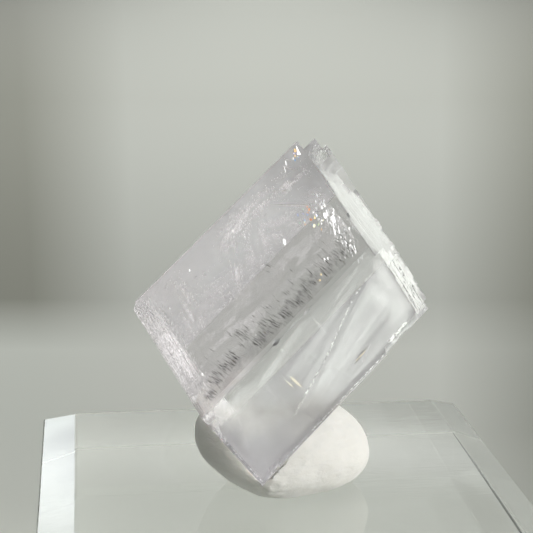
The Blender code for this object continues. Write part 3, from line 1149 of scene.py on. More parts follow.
# The speck veils: centre in u, v and w, three half sizes, how many specks and their size.
# The specks are made more and finer than the list says by these shares.
SPECK_SHARE = 2.7
SPECK_FINENESS = 0.58
SPECK_CLOUDS = (
    ((5.2, 8.1, 0.8), (2.4, 0.1, 0.1), (0.1, 0.6, 0.0), (0.0, 0.2, 0.5), 520, 0.026),
    ((6.7, 7.9, 0.8), (1.2, -0.2, 0.1), (0.1, 0.8, 0.0), (0.0, 0.2, 0.5), 360, 0.026),
    ((7.7, 6.4, 0.9), (-0.8, 1.7, 0.0), (0.4, 0.1, 0.1), (0.0, 0.3, 0.5), 340, 0.024),
    ((11.7, 6.3, 0.8), (-0.2, 2.1, 0.0), (0.8, 0.1, 0.0), (0.0, 0.2, 0.5), 290, 0.026),
    ((6.0, 6.2, 1.2), (-0.7, 1.6, 0.1), (1.3, 0.2, 0.1), (0.0, 0.3, 0.7), 420, 0.022),
    ((4.1, 6.0, 1.2), (1.6, 0.8, 0.1), (-0.4, 1.0, 0.1), (0.0, 0.3, 0.7), 320, 0.022),
    ((9.4, 6.3, 1.8), (2.4, 0.5, 0.1), (-0.4, 1.4, 0.1), (0.0, 0.5, 0.9), 320, 0.022),
    ((8.9, 4.4, 1.6), (2.6, 0.5, 0.1), (-0.4, 1.2, 0.1), (0.0, 0.5, 0.9), 260, 0.020),
    ((1.9, 7.5, 0.8), (1.3, 0.3, 0.1), (-0.3, 0.9, 0.1), (0.0, 0.3, 0.6), 300, 0.022),
    ((0.8, 2.6, 0.6), (0.0, 2.4, 0.0), (0.5, 0.0, 0.0), (0.0, 0.3, 0.4), 260, 0.026),
    ((9.6, 3.4, 1.2), (3.2, 0.2, 0.0), (-0.3, 1.6, 0.1), (0.0, 0.3, 0.6), 1040, 0.023),
    ((4.4, 3.6, 1.2), (3.2, 0.2, 0.0), (-0.3, 1.7, 0.1), (0.0, 0.3, 0.6), 900, 0.022),
    ((12.5, 0.6, 1.6), (1.2, 0.0, 0.5), (-0.2, 0.0, 0.7), (0.0, 0.2, 0.0), 160, 0.022),
)

# The frosted zones: name, the way the plates face, tilt, the edge that long slats run with, how the plates
# gather towards the high or low corner in u, v and w, and two colours. Then for each zone its low and high
# corner, the count, the half length and the half width.
FROSTED_ZONES = (
    (
        "left_frosting_plates",
        GLINT,
        0.20,
        None,
        (0.52, 2.2, 1.0),
        # Painted shade: these plates are greyer than the ledge's white, in place of the shadow they would throw on
        # one another
        ((0.61, 0.605, 0.61), (0.51, 0.505, 0.515)),
        (
            ((12.8, 1.8, 0.10), (14.42, 7.9, 0.35), 1550, 0.075, 0.022),
            ((13.2, 1.6, 0.10), (14.42, 5.6, 0.45), 1200, 0.070, 0.024),
            ((12.9, 1.8, 0.35), (14.40, 7.0, 0.60), 750, 0.090, 0.028),
            ((13.3, 6.0, 0.10), (14.42, 8.6, 0.35), 230, 0.090, 0.018),
        ),
    ),
    (
        "ledge_frosting_plates",
        LEDGE_GLINT,
        0.03,
        AXIS_V,
        (1.0, 1.0, 1.0),
        ((0.90, 0.915, 0.905), (0.85, 0.865, 0.855)),
        (
            ((-0.28, 0.1, 0.97), (0.02, 6.2, 1.10), 240, 0.80, 0.030),
            ((0.02, 0.1, 0.97), (0.14, 5.0, 1.10), 130, 0.60, 0.026),
            ((0.12, 0.1, 0.97), (0.34, 3.2, 1.10), 90, 0.50, 0.024),
            ((-0.60, 1.0, 1.57), (-0.32, 5.6, 1.70), 190, 0.80, 0.030),
            ((-1.00, 1.0, 2.52), (-0.64, 5.4, 2.65), 200, 0.80, 0.030),
            ((-1.18, 3.4, 3.92), (-0.86, 6.4, 4.05), 120, 0.60, 0.030),
            ((-0.54, 0.05, 2.22), (-0.30, 1.25, 2.32), 60, 0.40, 0.030),
        ),
    ),
    (
        "corner_frosting_plates",
        GLINT,
        0.06,
        AXIS_W,
        (1.0, 1.0, 1.0),
        ((0.785, 0.80, 0.79), (0.725, 0.74, 0.73)),
        (
            ((-0.28, 0.08, 1.02), (0.10, 0.30, 2.60), 130, 0.40, 0.022),
            ((-0.66, 0.08, 2.40), (0.10, 0.30, 8.00), 210, 0.60, 0.022),
            ((-0.98, 0.66, 2.40), (-0.60, 0.90, 7.60), 120, 0.60, 0.022),
        ),
    ),
    (
        "ledge_glow_plates",
        LEDGE_GLINT,
        0.05,
        None,
        (1.0, 1.0, 1.0),
        ((0.88, 0.895, 0.885), (0.84, 0.855, 0.845)),
        (
            ((-0.28, 0.1, 0.98), (0.00, 5.8, 1.06), 1000, 0.07, 0.022),
            ((-0.28, 5.4, 0.98), (-0.05, 7.1, 1.06), 170, 0.07, 0.022),
            ((0.00, 0.1, 0.98), (0.14, 5.0, 1.06), 420, 0.07, 0.022),
            ((-0.28, 0.1, 1.02), (0.05, 0.9, 2.30), 300, 0.06, 0.022),
            ((-0.60, 0.9, 1.58), (-0.31, 5.6, 1.66), 900, 0.07, 0.022),
            ((-0.60, 5.2, 1.58), (-0.31, 7.1, 1.66), 190, 0.07, 0.022),
            ((-0.81, 5.65, 1.59), (-0.60, 6.50, 1.66), 90, 0.07, 0.022),
            ((-1.36, 6.55, 1.59), (-0.60, 7.17, 1.66), 110, 0.07, 0.022),
            ((-1.34, 7.23, 0.99), (-0.30, 8.05, 1.06), 80, 0.07, 0.022),
            ((-0.53, 0.10, 2.22), (-0.30, 1.25, 2.30), 300, 0.06, 0.022),
            ((-1.02, 0.9, 2.52), (-0.63, 5.5, 2.60), 1100, 0.07, 0.022),
            ((-1.20, 3.3, 3.92), (-0.85, 6.4, 4.00), 700, 0.07, 0.022),
            ((-0.68, 0.10, 2.30), (0.00, 1.3, 5.60), 480, 0.05, 0.022),
            ((-0.68, 0.10, 5.60), (0.00, 1.3, 8.25), 260, 0.05, 0.022),
            ((-0.98, 0.70, 2.60), (-0.68, 1.5, 8.20), 180, 0.05, 0.022),
            ((-1.00, 7.4, 1.05), (-0.05, 8.6, 2.60), 160, 0.07, 0.022),
        ),
    ),
)


def glinting(tilt, rng, facing=GLINT):
    """Two directions of a small plate that throws the main light back to the front, give or take a tilt."""
    normal = facing + Vector([rng.gauss(0.0, tilt) for _ in range(3)])
    along = (AXIS_V - normal * AXIS_V.dot(normal) / normal.length_squared).normalized()
    return along, normal.cross(along).normalized()


def glinting_slat(edge, tilt, rng, facing):
    """The same for a slat that has to lie along one of the crystal's edges."""
    normal = facing + Vector([rng.gauss(0.0, tilt) for _ in range(3)])
    return edge, normal.cross(edge).normalized()


# Bright facets that stand alone: the triangle and the dash at the top corner and the flake amid the upper face
BRIGHT_FACETS = (
    ((0.42, 8.35, 0.25), (0.36, 0.15), 3),
    ((1.45, 8.45, 0.25), (0.20, 0.035), 6),
    ((1.75, 8.15, 0.25), (0.28, 0.02), 6),
    ((4.45, 4.65, 0.40), (0.24, 0.09), 6),
    ((12.6, 7.0, 0.30), (0.09, 0.02), 5),
)
# Flakes that stand apart from the spray: centre in u, v and w, and half width
SINGLE_FLAKES = (
    ((6.7, 7.8, 0.45), 0.05),
    ((9.15, 1.65, 0.55), 0.04),
    ((1.15, 3.3, 0.35), 0.15),
    ((1.45, 3.9, 0.4), 0.11),
    ((1.3, 4.45, 0.4), 0.08),
    ((0.95, 3.6, 0.4), 0.07),
    ((1.9, 4.3, 0.4), 0.06),
    ((0.9, 8.3, 0.3), 0.05),
    ((6.3, 6.9, 0.5), 0.04),
    ((8.0, 5.6, 0.5), 0.03),
    ((5.5, 3.4, 0.5), 0.03),
    ((3.1, 1.9, 0.6), 0.06),
    ((2.9, 1.8, 0.6), 0.05),
    ((13.1, 2.2, 0.3), 0.06),
    ((10.3, 7.9, 0.3), 0.045),
)
SPRAY_COUNT = 96
# Rainbow flakes: the middle of each group in u, v and w and how far it strays, and the two hues of each kind
RAINBOW_GROUPS = (((2.5, 5.0, 0.5), 0.28), ((2.0, 4.0, 0.5), 0.3), ((0.7, 8.4, 0.3), 0.12))
RAINBOW_HUES = (
    ((1.0, 0.42, 0.20), (1.0, 0.75, 0.35)),
    ((0.35, 0.62, 1.0), (0.80, 0.70, 1.0)),
    ((0.6, 1.0, 0.75), (1.0, 0.92, 0.65)),
)
RAINBOW_COUNT = 10
SHARD_COUNT = 60
# Bright hair lines in the upper face: centre and way in u, v and w, and half length
BRIGHT_LINES = (
    ((2.95, 7.5, 0.3), (-1.0, -1.0, 0.0), 0.9),
    ((2.85, 6.2, 0.3), (-1.2, -1.2, 0.0), 1.3),
    ((1.5, 8.1, 0.3), (-0.5, -0.8, 0.0), 0.45),
    ((1.2, 8.5, 0.3), (-0.5, -0.8, 0.0), 0.3),
    ((1.1, 5.35, 0.3), (-1.0, -1.0, 0.0), 0.45),
)
STRIATION_COUNT = 46
# The golden fleck and dark grain among the needles and the thin stain in the lower face: centre and half size
GOLDEN_FLECKS = (
    ((3.80, 1.25, 0.40), (0.07, 0.045)),
    ((4.05, 1.05, 0.40), (0.05, 0.04)),
    ((4.75, 0.45, 6.95), (0.55, 0.02)),
)
BROWN_GRAINS = (
    ((4.15, 1.15, 0.42), (0.09, 0.075)),
    ((4.55, 0.45, 6.80), (0.50, 0.028)),
    ((5.0, 0.45, 7.05), (0.30, 0.02)),
)
# Trails of tiny bright crumbs seen through the lower face: bends in u, v and w, how many to a millimetre,
# how far they stray and their smallest and largest half size. First the crack, then the two lower edges
# and the broken corner.
CRUMB_TRAILS = (
    (((10.3, 0.4, 6.2), (6.0, 0.4, 4.3), (3.1, 0.4, 2.5), (1.4, 0.4, 2.1)), 13.0, 0.05, (0.012, 0.038)),
    (((14.0, 0.14, 8.36), (2.9, 0.14, 8.36)), 10.0, 0.035, (0.008, 0.030)),
    (((14.38, 0.14, 0.8), (14.38, 0.14, 8.3)), 12.0, 0.035, (0.010, 0.036)),
    (((2.7, 0.50, 8.1), (1.0, 0.65, 8.1)), 30.0, 0.10, (0.020, 0.070)),
)


class SPECIMEN_OT_flaws(bpy.types.Operator):
    """Builds the veils, streaks, bright flakes and shards inside the crystal"""

    bl_idname = "specimen.flaws"
    bl_label = "Veils and Flakes"

    def execute(self, context):
        for name, (finish, sheets) in VEILS.items():
            bm = bmesh.new()
            for seed, (corners, soft, waviness) in enumerate(sheets):
                soft_sheet(bm, corners, soft, waviness, seed + 1.0)
            made = new_piece(name, bm, [veil_material(name[:-1], *finish)], slot="calcite", smooth=True)
            made.visible_shadow = False
        self.speck_veils()
        self.frosting()
        self.flakes()
        self.rainbow_flakes()
        self.shards()
        self.striations()
        self.crumbs()
        self.stains()
        return {"FINISHED"}

    def speck_veils(self):
        """Wispy white veils: clouds of tiny flat flaws that catch the light."""
        rng = random.Random(61)
        bm = bmesh.new()
        for seed, (centre, along, across, deep, count, size) in enumerate(SPECK_CLOUDS):
            made = 0
            while made < count * SPECK_SHARE:
                shares = [rng.gauss(0.0, 0.45) for _ in range(3)]
                wisp = noise.fractal(Vector((shares[0] * 1.2, shares[1] * 3.6, seed * 3.7)), 1.0, 2.0, 3)
                if wisp < 0.1 * rng.random() - 0.02:
                    continue
                at = Vector(centre)
                for way, share in zip((along, across, deep), shares):
                    at += Vector(way) * share
                at.x = min(at.x, LONG_EDGE - 0.15)
                at.y = min(max(at.y, 0.15), SHORT_EDGE - 0.12)
                at.z = max(at.z, 0.1)
                first, second = glinting(0.12, rng)
                half = size * SPECK_FINENESS * rng.uniform(0.4, 1.3)
                sizes = (half * rng.uniform(1.2, 3.0), half)
                ragged_plate(bm, OBLIQUE @ at, first, second, sizes, 0.006, made * 0.37, corners=4)
                made += 1
        white = flake_material("veil_speck", (0.80, 0.79, 0.80), (0.70, 0.69, 0.71), 0.6)
        new_piece("speck_veils", bm, [white], slot="calcite").visible_shadow = False

    def frosting(self):
        """Dense white frosting of small shingled plates: inside the left end and inside the right ledge."""
        rng = random.Random(67)
        for name, facing, tilt, edge, gathering, finish, zones in FROSTED_ZONES:
            bm = bmesh.new()
            for low, high, count, length, width in zones:
                for number in range(count):
                    bounds = zip(low, high, gathering)
                    at = Vector([a + (b - a) * rng.random() ** power for a, b, power in bounds])
                    half = (length * rng.uniform(0.4, 1.4), width * rng.uniform(0.4, 1.4))
                    if edge:
                        first, second = glinting_slat(edge, tilt, rng, facing)
                        way = 1 if edge is AXIS_V else 2
                        half = (max(0.05, min(half[0], at[way] - low[way], high[way] - at[way])), half[1])
                    else:
                        first, second = glinting(tilt, rng, facing)
                    ragged_plate(bm, OBLIQUE @ at, first, second, half, 0.008, number * 0.41, corners=5)
            white = flake_material(name[:-1], finish[0], finish[1], 0.6)
            new_piece(name, bm, [white], slot="calcite").visible_shadow = False

    def flakes(self):
        """A spray of bright flakes near the right end, and a few apart."""
        rng = random.Random(23)
        bm = bmesh.new()
        for number in range(SPRAY_COUNT):
            down = rng.random()
            u, v = 1.25 + rng.gauss(0.1, 0.36), 5.3 - 3.6 * down + rng.gauss(0.0, 0.25)
            at = Vector((min(max(u, 0.35), 2.6), v, rng.uniform(0.25, 0.9)))
            along, across = glinting(0.30, rng)
            size = rng.uniform(0.015, 0.075) * (1.2 - 0.4 * down)
            half = (size * rng.uniform(1.0, 2.4), size)
            ragged_plate(bm, OBLIQUE @ at, along, across, half, 0.012, number, corners=6)
        for number, (at, size) in enumerate(SINGLE_FLAKES):
            along, across = glinting(0.12, rng)
            half = (size * 1.7, size)
            ragged_plate(bm, OBLIQUE @ Vector(at), along, across, half, 0.015, number + 90.0, corners=7)
        for number, (at, half, corners) in enumerate(BRIGHT_FACETS):
            along, across = glinting(0.03, rng)
            ragged_plate(bm, OBLIQUE @ Vector(at), along, across, half, 0.015, number + 120.0, corners=corners)
        white = flake_material("bright_flake", (1.0, 1.0, 1.0), (0.96, 0.98, 1.0), 0.38, mirror=0.5)
        new_piece("bright_flakes", bm, [white], slot="calcite").visible_shadow = False

    def rainbow_flakes(self):
        """Tiny flakes that split the light into colours, near the top of the spray and at the top corner."""
        rng = random.Random(31)
        for index, hues in enumerate(RAINBOW_HUES):
            finish = flake_material("rainbow_flake", *hues, 0.3, mirror=0.5)
            bm = bmesh.new()
            for number in range(RAINBOW_COUNT):
                centre, stray = rng.choice(RAINBOW_GROUPS[:2] + RAINBOW_GROUPS)
                at = Vector(centre) + Vector([rng.gauss(0.0, stray) for _ in range(3)])
                at.z = max(0.25, at.z)
                along, across = glinting(0.2, rng)
                size = rng.uniform(0.035, 0.095)
                half = (size * 1.4, size)
                ragged_plate(bm, OBLIQUE @ at, along, across, half, 0.012, number + index * 40.0, corners=6)
            new_piece(f"rainbow_flakes_{index + 1}", bm, [finish], slot="calcite")

    def shards(self):
        """Bright splinters that lie along the short edge direction."""
        rng = random.Random(41)
        bm = bmesh.new()
        for number in range(SHARD_COUNT):
            down = rng.random()
            at = Vector((1.05 + 0.55 * down + rng.gauss(0.0, 0.28), 4.2 - 3.5 * down, rng.uniform(0.25, 0.9)))
            at.x = min(max(at.x, 0.3), 2.5)
            at.y = max(at.y, 0.75 * at.z + 0.35)
            along, across = glinting(0.28, rng)
            size = (rng.uniform(0.10, 0.42), rng.uniform(0.012, 0.035))
            ragged_plate(bm, OBLIQUE @ at, along, across, size, 0.012, number + 200.0, corners=6)
        silver = flake_material("silver_shard", (1.0, 1.0, 1.0), (0.93, 0.94, 0.97), 0.36, mirror=0.6)
        new_piece("bright_shards", bm, [silver], slot="calcite").visible_shadow = False

    def striations(self):
        """Bright hair lines: along the short edge inside the left end, and a few near the top corner."""
        rng = random.Random(47)
        bm = bmesh.new()
        for number in range(STRIATION_COUNT):
            v = rng.uniform(1.2, 8.2)
            u = rng.uniform(13.15, 14.3) if rng.random() < 0.6 else rng.gauss(13.4, 0.12)
            half = rng.uniform(0.15, 0.9)
            v = min(max(v, half + 0.3), SHORT_EDGE - 0.2 - half)
            along = (AXIS_V + AXIS_U * rng.gauss(0.0, 0.02)).normalized()
            across = (AXIS_U + AXIS_W * rng.uniform(-0.6, 0.9)).normalized()
            at = OBLIQUE @ Vector((min(max(u, 13.1), 14.35), v, rng.uniform(0.08, 0.3)))
            sizes = (half, rng.uniform(0.012, 0.03))
            ragged_plate(bm, at, along, across, sizes, 0.01, number + 400.0, corners=8)
        for number, (at, way, half) in enumerate(BRIGHT_LINES):
            along = (OBLIQUE.to_3x3() @ Vector(way)).normalized()
            across = GLINT.cross(along).normalized()
            sizes = (half, 0.014)
            ragged_plate(bm, OBLIQUE @ Vector(at), along, across, sizes, 0.008, number + 300.0, corners=10)
        pearly = flake_material("pearly_line", (1.0, 1.0, 1.0), (1.0, 0.95, 0.97), 0.35)
        new_piece("pearly_lines", bm, [pearly], slot="calcite").visible_shadow = False

    def crumbs(self):
        """Crumbs that glint along the crack in the lower face and along its edges."""
        rng = random.Random(53)
        bm = bmesh.new()
        for bends, per_mm, stray, sizes in CRUMB_TRAILS:
            bends = [Vector(bend) for bend in bends]
            for start, end in zip(bends, bends[1:]):
                for number in range(int((end - start).length * per_mm)):
                    at = start.lerp(end, rng.random())
                    at += Vector((rng.gauss(0.0, stray), 0.0, rng.gauss(0.0, stray)))
                    at.x, at.z = min(at.x, LONG_EDGE - 0.09), min(at.z, DEEP_EDGE - 0.09)
                    normal = LOWER_GLINT + Vector([rng.gauss(0.0, 0.2) for _ in range(3)])
                    along = (AXIS_U - normal * AXIS_U.dot(normal) / normal.length_squared).normalized()
                    across = normal.cross(along).normalized()
                    size = rng.uniform(*sizes)
                    half = (size * rng.uniform(1.0, 2.2), size)
                    ragged_plate(bm, OBLIQUE @ at, along, across, half, 0.01, number + 7.0, corners=6)
        bead = flake_material("bright_crumb", (0.92, 0.95, 0.93), (0.82, 0.84, 0.82), 0.5)
        new_piece("bright_crumbs", bm, [bead], slot="calcite").visible_shadow = False

    def stains(self):
        """A golden fleck with its dark grain among the needles, and the thin brown stain in the lower face."""
        rng = random.Random(59)
        gold = flake_material("golden_fleck", (1.0, 0.82, 0.42), (0.95, 0.70, 0.25), 0.35, mirror=0.4)
        brown = flake_material("brown_grain", (0.09, 0.07, 0.05), (0.14, 0.11, 0.07), 0.5)
        kinds = (
            ("golden_flecks", GOLDEN_FLECKS, gold, 0.01, 9.0, 7),
            ("brown_grains", BROWN_GRAINS, brown, 0.02, 5.0, 8),
        )
        for name, marks, finish, thickness, seed_share, corners in kinds:
            bm = bmesh.new()
            for at, half in marks:
                along = AXIS_U if half[0] > 0.2 else glinting(0.05, rng)[0]
                across = GLINT.cross(along).normalized()
                seed = half[0] * seed_share
                ragged_plate(bm, OBLIQUE @ Vector(at), along, across, half, thickness, seed, corners=corners)
            new_piece(name, bm, [finish], slot="calcite").visible_shadow = False


# The needles' clumps: u and v of the middle, how far they scatter along and across the band, and their lean
NEEDLE_CLUMPS = (
    (13.35, 0.75, 0.22, 0.16, 0.38),
    (12.65, 1.10, 0.26, 0.20, 0.40),
    (11.90, 1.40, 0.26, 0.24, 0.42),
    (11.15, 1.30, 0.26, 0.26, 0.36),
    (9.75, 2.10, 0.25, 0.25, 0.34),
    (9.10, 1.00, 0.30, 0.22, 0.38),
    (8.30, 1.20, 0.26, 0.30, 0.32),
    (7.60, 0.95, 0.26, 0.25, 0.36),
    (7.00, 1.10, 0.22, 0.26, 0.30),
    (6.05, 1.00, 0.25, 0.24, 0.32),
    (5.25, 1.25, 0.22, 0.26, 0.22),
    (4.50, 1.30, 0.26, 0.28, 0.20),
    (3.35, 1.25, 0.22, 0.24, 0.24),
    (2.20, 1.05, 0.25, 0.30, 0.16),
    (1.55, 0.95, 0.22, 0.30, 0.14),
)
# Below which chance a needle grows in a clump or in the small tuft higher up; the rest are strewn in the band
CLUMPED_BELOW = 0.72
TUFTED_BELOW = 0.75
TUFT = (6.1, 4.0, 0.25, 0.3)
STREWN_U = (0.9, 13.6)
STREWN_V, STREWN_HEIGHT = 1.6, 0.5
STREWN_LEAN, LEAN_STRAY = 0.30, 0.07
BAND_U = (0.8, 13.7)
BAND_DEPTH = (0.15, 0.55)


class SPECIMEN_OT_needles(bpy.types.Operator):
    """Grows the band of hair-fine rutile needles along the long edge"""

    bl_idname = "specimen.needles"
    bl_label = "Rutile Needles"

    def execute(self, context):
        settings = context.scene.specimen_needles
        rng = random.Random(5)
        bm = bmesh.new()
        for number in range(settings.count):
            chance = rng.random()
            lean = STREWN_LEAN
            if chance < CLUMPED_BELOW:
                u, v, breadth, height, lean = rng.choice(NEEDLE_CLUMPS)
                middle = Vector((rng.gauss(u, breadth), rng.gauss(v, height), 0.0))
            elif chance < TUFTED_BELOW:
                u, v, breadth, height = TUFT
                middle = Vector((rng.gauss(u, breadth), rng.gauss(v, height), 0.0))
            else:
                middle = Vector((rng.uniform(*STREWN_U), rng.gauss(STREWN_V, STREWN_HEIGHT), 0.0))
            middle.x = min(max(middle.x, BAND_U[0]), BAND_U[1])
            reach = settings.length / MM * (0.35 + 0.65 * rng.random() ** 1.6)
            middle.z = rng.uniform(*BAND_DEPTH)
            lowest = middle.z / 0.75 + 0.05 + reach / 2
            middle.y = max(middle.y + 0.55 * middle.z, lowest)
            half = Vector((rng.gauss(lean, LEAN_STRAY), 1.0, rng.gauss(0.0, 0.10))) * reach / 2
            root, head = middle - half, middle + half
            thick = settings.width / MM * (0.45 + 0.55 * rng.random())
            self.needle(bm, OBLIQUE @ root, OBLIQUE @ head, thick)
        needles = new_piece("rutile_needle_band", bm, [rutile_material(settings)], slot="rutile")
        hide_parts("rutile_needles")
        return {"FINISHED"}

    def needle(self, bm, root, head, thick):
        """A three-sided needle, thickest below its middle and drawn out to a point at each end."""
        along = (head - root).normalized()
        side = along.orthogonal().normalized()
        turn = Matrix.Rotation(math.radians(120.0), 3, along)
        belly = root.lerp(head, 0.35)
        ring = []
        for _ in range(3):
            ring.append(bm.verts.new(belly + side * thick / 2))
            side = turn @ side
        ends = [bm.verts.new(root), bm.verts.new(head)]
        for first, second in zip(ring, ring[1:] + ring[:1]):
            bm.faces.new((first, second, ends[1]))
            bm.faces.new((second, first, ends[0]))


# Dents pressed into the putty by hand: how deep, and how fine
PUTTY_DENTS = ((0.09, 0.7), (0.03, 2.4))
# The lip of putty at the crystal's tip: where its middle lies from the tip, its reach, height and unevenness
LIP_FROM_TIP = (0.5, 0.0, -0.7)
LIP_REACH = 1.1
LIP_HEIGHT, LIP_UNEVENNESS, LIP_FINENESS = 0.42, 0.30, 2.2
# How far the foot stands off the block, the height over which the side rounds into it, and how much of it
# is pressed flat
FOOT_CLEARANCE = 0.01
FOOT_BLEND = 0.7
FOOT_FLAT = 0.12


def putty_swell(x, y, z):
    """How far the hand-pressed putty stands in or out from an even ball, for a direction from its centre."""
    turn = math.atan2(y, x)
    swell = OVAL_SWELL * math.sin(2.0 * turn + OVAL_TURN) + CORNER_SWELL * math.sin(3.0 * turn + CORNER_TURN)
    low = ((1.0 - z) / 2.0) ** 2
    waist = WAIST_DEPTH * low * math.exp((math.cos(turn - WAIST_TURN) - 1.0) / WAIST_WIDTH**2)
    return 1.0 + swell * math.hypot(x, y) - waist


def putty_place(direction):
    """The point of the putty's outside that lies in a direction from its centre, before it is set down."""
    swell = putty_swell(*direction)
    offset = Vector([c * swell * half for c, half in zip(direction, PUTTY_HALF_SIZE)])
    offset.x += PUTTY_LEAN[0] * offset.z
    offset.y += PUTTY_LEAN[1] * offset.z
    return Vector(PUTTY_CENTRE) + offset


class SPECIMEN_OT_putty(bpy.types.Operator):
    """Builds the hand-rolled putty, pressed flat on the block and up around the crystal's tip"""

    bl_idname = "specimen.putty"
    bl_label = "Mounting Putty"

    def execute(self, context):
        settings = context.scene.specimen_putty
        bm = bmesh.new()
        bmesh.ops.create_uvsphere(bm, u_segments=180, v_segments=110, radius=1.0)
        foot = BLOCK_HEIGHT + FOOT_CLEARANCE
        lip = Vector(TIP) + Vector(LIP_FROM_TIP)
        for vert in bm.verts:
            direction = vert.co.copy()
            place = putty_place(direction)
            near_tip = math.exp(-(((place - lip).length / LIP_REACH) ** 2))
            uneven = LIP_UNEVENNESS * noise.noise(place * LIP_FINENESS)
            place += direction * near_tip * (LIP_HEIGHT + uneven)
            for depth, fineness in PUTTY_DENTS:
                place += direction * depth * noise.noise(place * fineness)
            over_foot = place.z - foot
            if over_foot < FOOT_BLEND:
                sunk = (FOOT_BLEND - over_foot) / FOOT_BLEND
                rounded = foot + FOOT_BLEND / (1.0 + sunk + sunk**2)
                place.z = max(rounded - FOOT_FLAT * max(0.0, min(1.0, sunk / 2.0)), foot)
            vert.co = place
        putty = new_piece("putty_lump", bm, [putty_material(settings)], slot="putty", smooth=True)
        gap = settings.clearance / MM
        crystal_print = cleavage_cutter(
            "putty_print",
            (-LEDGE_OVERHANG - gap, LONG_EDGE + gap),
            (-gap, SHORT_EDGE + gap),
            (-gap, DEEP_EDGE + gap),
        )
        carve(putty, [crystal_print])
        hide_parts("mounting_putty")
        return {"FINISHED"}


class SPECIMEN_OT_block(bpy.types.Operator):
    """Builds the clear display block with its wide bevel and polished edges"""

    bl_idname = "specimen.block"
    bl_label = "Display Block"

    def execute(self, context):
        settings = context.scene.specimen_block
        half = BLOCK_SIDE / 2
        inner = half - BEVEL_WIDTH
        bm = bmesh.new()
        rings = []
        for side, height in ((half, 0.0), (half, BLOCK_HEIGHT - BEVEL_DROP), (inner, BLOCK_HEIGHT)):
            corners = ((-side, -side), (side, -side), (side, side), (-side, side))
            rings.append([bm.verts.new((x, y, height)) for x, y in corners])
        bm.faces.new(rings[0])
        bm.faces.new(rings[2])
        for lower, upper in zip(rings, rings[1:]):
            for number in range(4):
                after = (number + 1) % 4
                bm.faces.new((lower[number], lower[after], upper[after], upper[number]))
        block = new_piece("clear_block", bm, [acrylic_material(settings)], slot="acrylic")
        rounding = block.modifiers.new("Polished edges", "BEVEL")
        rounding.width = settings.edge_rounding
        rounding.segments = 3
        rounding.limit_method = "ANGLE"
        rounding.angle_limit = math.radians(20.0)
        bake_modifiers(block)
        block.visible_shadow = False
        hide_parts("display_block")
        return {"FINISHED"}


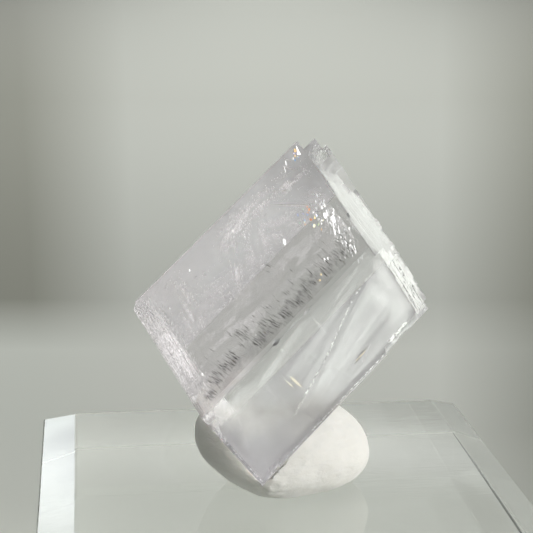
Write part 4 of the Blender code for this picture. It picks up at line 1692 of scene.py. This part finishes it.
class SPECIMEN_OT_stage(bpy.types.Operator):
    """Makes the floor with its painted light and shade, the soft lights and the camera"""

    bl_idname = "specimen.stage"
    bl_label = "Stage, Lights and Camera"

    def execute(self, context):
        scene = context.scene
        settings = scene.specimen_stage
        self.floor(settings)
        self.lights(settings)
        self.sky(scene, settings)
        self.camera(scene)
        scene.view_settings.view_transform = "Standard"
        scene.cycles.max_bounces = 24
        scene.cycles.transmission_bounces = 24
        scene.cycles.transparent_max_bounces = 32
        scene.cycles.glossy_bounces = 12
        scene.cycles.diffuse_bounces = 4
        scene.cycles.sample_clamp_indirect = 12.0
        return {"FINISHED"}

    def floor(self, settings):
        bm = bmesh.new()
        bmesh.ops.create_circle(bm, cap_ends=True, radius=FLOOR_RADIUS, segments=96)
        bmesh.ops.translate(bm, vec=(0, 0, -FLOOR_DROP), verts=bm.verts)
        floor = new_piece("floor", bm, [floor_material(settings)])

    def lights(self, settings):
        width = settings.key_width
        towards = direction_to(settings.key_azimuth_deg, settings.key_elevation_deg)
        turn = towards.to_track_quat("Z", "Y").to_euler()
        key = self.lamp("key_light", (width, width * KEY_PROPORTION), towards * settings.key_distance, turn)
        key.data.energy = settings.key_strength
        key.data.color = KEY_COLOUR
        turn = (0.0, 0.0, math.radians(CAMERA_TURN_DEG[2]))
        strip = self.lamp("floor_light", (FLOOR_LIGHT_BREADTH, settings.strip_length), FLOOR_LIGHT_PLACE, turn)
        strip.data.energy = settings.strip_strength
        strip.visible_glossy = False

    def lamp(self, name, size, place, turn):
        """A soft rectangular lamp that is not seen itself."""
        data = bpy.data.lights.new(name, "AREA")
        data.shape = "RECTANGLE"
        data.size, data.size_y = size
        lamp = bpy.data.objects.new(name, data)
        lamp.location = place
        lamp.rotation_euler = turn
        lamp.visible_camera = False
        lamp.visible_transmission = False
        bpy.context.scene.collection.objects.link(lamp)
        return lamp

    def sky(self, scene, settings):
        world = bpy.data.worlds.new("soft_sky")
        scene.world = world
        world.use_nodes = True
        tree = world.node_tree
        background = tree.nodes["Background"]
        direction = node(tree, "ShaderNodeTexCoord").outputs["Generated"]
        tint = (*settings.sky_shade, 1.0)
        for towards, narrowness, colour in SKY_PATCHES:
            facing = node(tree, "ShaderNodeVectorMath", {0: direction, 1: towards}, operation="DOT_PRODUCT")
            share = maths(tree, "POWER", spread(tree, facing.outputs["Value"], 0.0, 1.0), narrowness)
            tint = blended(tree, share, tint, (*colour, 1.0))
        height = node(tree, "ShaderNodeSeparateXYZ", {0: direction}).outputs["Z"]
        band_height = math.sin(math.radians(BAND_ELEVATION_DEG))
        off_band = maths(tree, "ABSOLUTE", maths(tree, "ADD", height, -band_height))
        facing = node(tree, "ShaderNodeVectorMath", {0: direction, 1: BAND_TOWARDS}, operation="DOT_PRODUCT")
        wide = maths(tree, "POWER", spread(tree, facing.outputs["Value"], 0.0, 1.0), BAND_NARROWNESS)
        share = maths(tree, "MULTIPLY", wide, spread(tree, off_band, *BAND_HALF_HEIGHT))
        tint = blended(tree, share, tint, (*settings.band_colour, 1.0))
        link(tree, tint, background.inputs["Color"])
        background.inputs["Strength"].default_value = settings.sky_strength

    def camera(self, scene):
        data = bpy.data.cameras.new("camera")
        data.sensor_width = SENSOR_WIDTH
        data.lens = FOCAL_PIXELS / FRAME_PIXELS * SENSOR_WIDTH
        data.clip_start = 0.002
        data.clip_end = 10.0
        camera = bpy.data.objects.new("camera", data)
        camera.location = Vector(CAMERA_PLACE) * MM
        camera.rotation_euler = [math.radians(angle) for angle in CAMERA_TURN_DEG]
        scene.collection.objects.link(camera)
        scene.camera = camera


class SPECIMEN_PT_panel(bpy.types.Panel):
    """Lists the pieces in the order that they are built"""

    bl_idname = "SPECIMEN_PT_panel"
    bl_label = "Calcite with Rutile"
    bl_space_type = "VIEW_3D"
    bl_region_type = "UI"
    bl_category = "Specimen"

    def draw(self, context):
        for operator in OPERATORS:
            self.layout.operator(operator.bl_idname)
        for name in SETTINGS:
            group = getattr(context.scene, name)
            box = self.layout.box()
            for key in group.__annotations__:
                box.prop(group, key)


SETTINGS = {
    "specimen_crystal": CrystalSettings,
    "specimen_needles": NeedleSettings,
    "specimen_putty": PuttySettings,
    "specimen_block": BlockSettings,
    "specimen_stage": StageSettings,
}
OPERATORS = (
    SPECIMEN_OT_crystal,
    SPECIMEN_OT_flaws,
    SPECIMEN_OT_needles,
    SPECIMEN_OT_putty,
    SPECIMEN_OT_block,
    SPECIMEN_OT_stage,
)


def register():
    for group in SETTINGS.values():
        bpy.utils.register_class(group)
    for operator in OPERATORS:
        bpy.utils.register_class(operator)
    bpy.utils.register_class(SPECIMEN_PT_panel)
    for name, group in SETTINGS.items():
        setattr(bpy.types.Scene, name, bpy.props.PointerProperty(type=group))


def unregister():
    for name in SETTINGS:
        delattr(bpy.types.Scene, name)
    bpy.utils.unregister_class(SPECIMEN_PT_panel)
    for operator in reversed(OPERATORS):
        bpy.utils.unregister_class(operator)
    for group in reversed(SETTINGS.values()):
        bpy.utils.unregister_class(group)


def main():
    register()
    bpy.ops.specimen.crystal()
    bpy.ops.specimen.flaws()
    bpy.ops.specimen.needles()
    bpy.ops.specimen.putty()
    bpy.ops.specimen.block()
    bpy.ops.specimen.stage()


if __name__ == "__main__":
    main()
